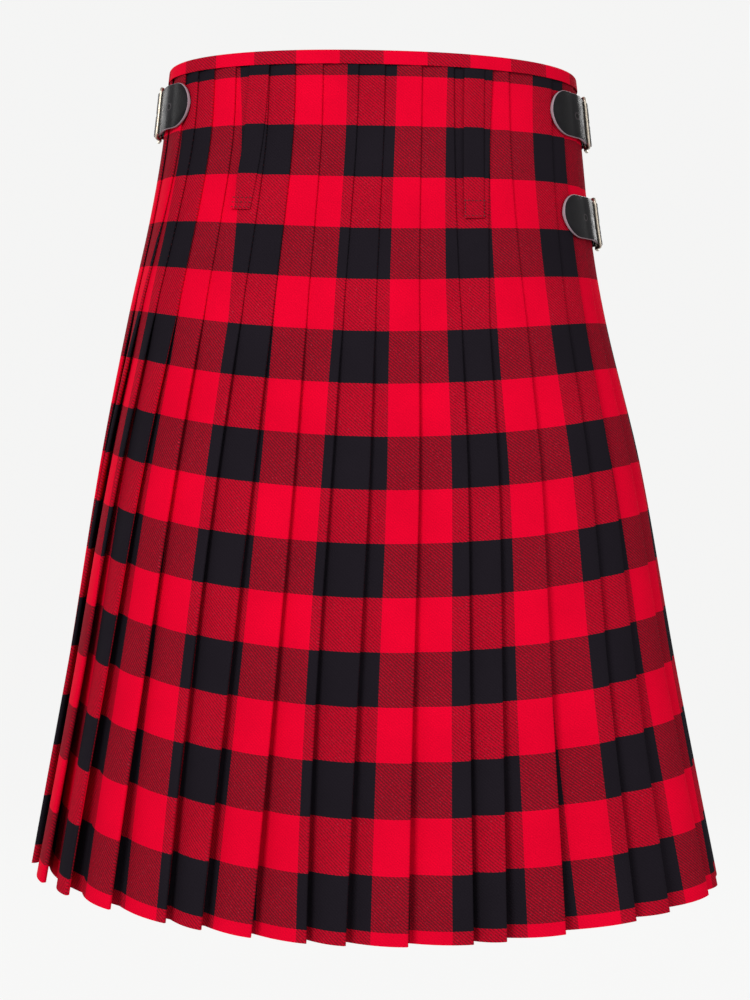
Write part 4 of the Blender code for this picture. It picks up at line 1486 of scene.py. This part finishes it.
def make_camera():
    lens = bpy.data.cameras.new("camera")
    lens.sensor_fit, lens.sensor_width, lens.lens = "AUTO", 36.0, 72.83
    level = (math.radians(90), 0.0, 0.0)
    bpy.context.scene.camera = to_scene(lens, (0.0007, -1.4851, -0.3096), level)


# ---------------------------------------------------------------- operators

def panel_of_cloth(name, line_at, node, rows=None, cut_at=None):
    sizes = bpy.context.scene.kilt_sizes
    piece = cloth(name, line_at, rows or cloth_rows(sizes.rows), material_of("wool"),
                  sizes.cloth_thickness / MM, cut_at)
    return keep(piece, "check_cloth", node)


class KILT_OT_pleats(bpy.types.Operator):
    """Make the two lengths of pleated cloth across the back"""
    bl_idname = "kilt.pleats"
    bl_label = "Pleats"

    def execute(self, context):
        left = panel_of_cloth("pleats_left_cloth", lambda a: pleat_line(2, CENTRE_JOIN, a),
                              "pleats_left")
        right = panel_of_cloth("pleats_right_cloth", lambda a: pleat_line(CENTRE_JOIN + 1, LAST, a),
                               "pleats_right")
        return {"FINISHED"}


class KILT_OT_aprons(bpy.types.Operator):
    """Make the plain outer and inner aprons across the front"""
    bl_idname = "kilt.aprons"
    bl_label = "Aprons"

    def execute(self, context):
        rows = sorted(cloth_rows(context.scene.kilt_sizes.rows) + list(SLIT_ROWS))
        rows = [a for a in rows if a in SLIT_ROWS or min(abs(a - s) for s in SLIT_ROWS) > 2]

        def slit(alongs, columns):
            cut = np.zeros((len(alongs) - 1, columns - 1), bool)
            low, high = rows.index(SLIT_ROWS[0]), rows.index(SLIT_ROWS[1])
            cut[low:high, FRONT_POINTS - 1] = True
            return cut

        over = panel_of_cloth("over_apron_cloth", over_apron_line, "over_apron", rows, slit)
        under = panel_of_cloth("under_apron_cloth", under_apron_line, "under_apron")
        return {"FINISHED"}


class KILT_OT_waistband(bpy.types.Operator):
    """Make the narrow band folded over the top edge"""
    bl_idname = "kilt.waistband"
    bl_label = "Waistband"

    def execute(self, context):
        band = make_waistband(material_of("wool"))
        return {"FINISHED"}


class KILT_OT_belt_loops(bpy.types.Operator):
    """Make the two belt loops over the stitched pleats"""
    bl_idname = "kilt.belt_loops"
    bl_label = "Belt loops"

    def execute(self, context):
        for piece, under in zip(make_belt_loops(material_of("wool")),
                                ("pleats_left_cloth", "pleats_right_cloth")):
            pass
        return {"FINISHED"}


class KILT_OT_straps(bpy.types.Operator):
    """Make the three leather straps and the chapes that hold their buckles"""
    bl_idname = "kilt.straps"
    bl_label = "Straps"

    def execute(self, context):
        leather = material_of("leather")
        make_straps(leather)
        make_chapes(leather)
        return {"FINISHED"}


class KILT_OT_buckles(bpy.types.Operator):
    """Make the three buckle frames and their prongs"""
    bl_idname = "kilt.buckles"
    bl_label = "Buckles"

    def execute(self, context):
        make_buckles(material_of("metal"))
        return {"FINISHED"}


class KILT_OT_stitches(bpy.types.Operator):
    """Sew down the pleats, the loops and the straps"""
    bl_idname = "kilt.stitches"
    bl_label = "Stitches"

    def execute(self, context):
        sizes = context.scene.kilt_sizes
        tree = stitch_tree(material_of("thread"))
        pleat_seam = Seam(sizes.stitch_spacing, sizes.stitch_length, PLEAT_THREAD)
        stitch("pleat_stitches", fold_paths(), tree, "check_cloth", pleat_seam)
        stitch("loop_stitches", tack_paths(), tree, "band_cloth", LOOP_SEAM)
        stitch("strap_stitches", box_paths(), tree, "black_leather", STRAP_SEAM)
        return {"FINISHED"}


class KILT_OT_studio(bpy.types.Operator):
    """Make the pale floor, the lights and the camera"""
    bl_idname = "kilt.studio"
    bl_label = "Studio"

    def execute(self, context):
        context.scene.view_settings.view_transform = "Standard"
        make_bowl(material_of("studio"))
        make_lights()
        make_camera()
        return {"FINISHED"}


class KILT_PT_panel(bpy.types.Panel):
    """Sizes, colours and pieces of the kilt"""
    bl_idname = "KILT_PT_panel"
    bl_label = "Kilt"
    bl_space_type = "VIEW_3D"
    bl_region_type = "UI"
    bl_category = "Kilt"

    def draw(self, context):
        for group in (context.scene.kilt_sizes, context.scene.kilt_colours):
            for name in group.__annotations__:
                self.layout.prop(group, name)
        for operator in OPERATORS:
            self.layout.operator(operator.bl_idname)


OPERATORS = (KILT_OT_pleats, KILT_OT_aprons, KILT_OT_waistband, KILT_OT_belt_loops,
             KILT_OT_straps, KILT_OT_buckles, KILT_OT_stitches, KILT_OT_studio)
CLASSES = (KiltSizes, KiltColours, *OPERATORS, KILT_PT_panel)


def register():
    for each in CLASSES:
        bpy.utils.register_class(each)
    bpy.types.Scene.kilt_sizes = PointerProperty(type=KiltSizes)
    bpy.types.Scene.kilt_colours = PointerProperty(type=KiltColours)


def unregister():
    del bpy.types.Scene.kilt_colours
    del bpy.types.Scene.kilt_sizes
    for each in reversed(CLASSES):
        bpy.utils.unregister_class(each)


def main():
    register()
    bpy.ops.kilt.pleats()
    bpy.ops.kilt.aprons()
    bpy.ops.kilt.waistband()
    bpy.ops.kilt.belt_loops()
    bpy.ops.kilt.straps()
    bpy.ops.kilt.buckles()
    bpy.ops.kilt.stitches()
    bpy.ops.kilt.studio()


if __name__ == "__main__":
    main()
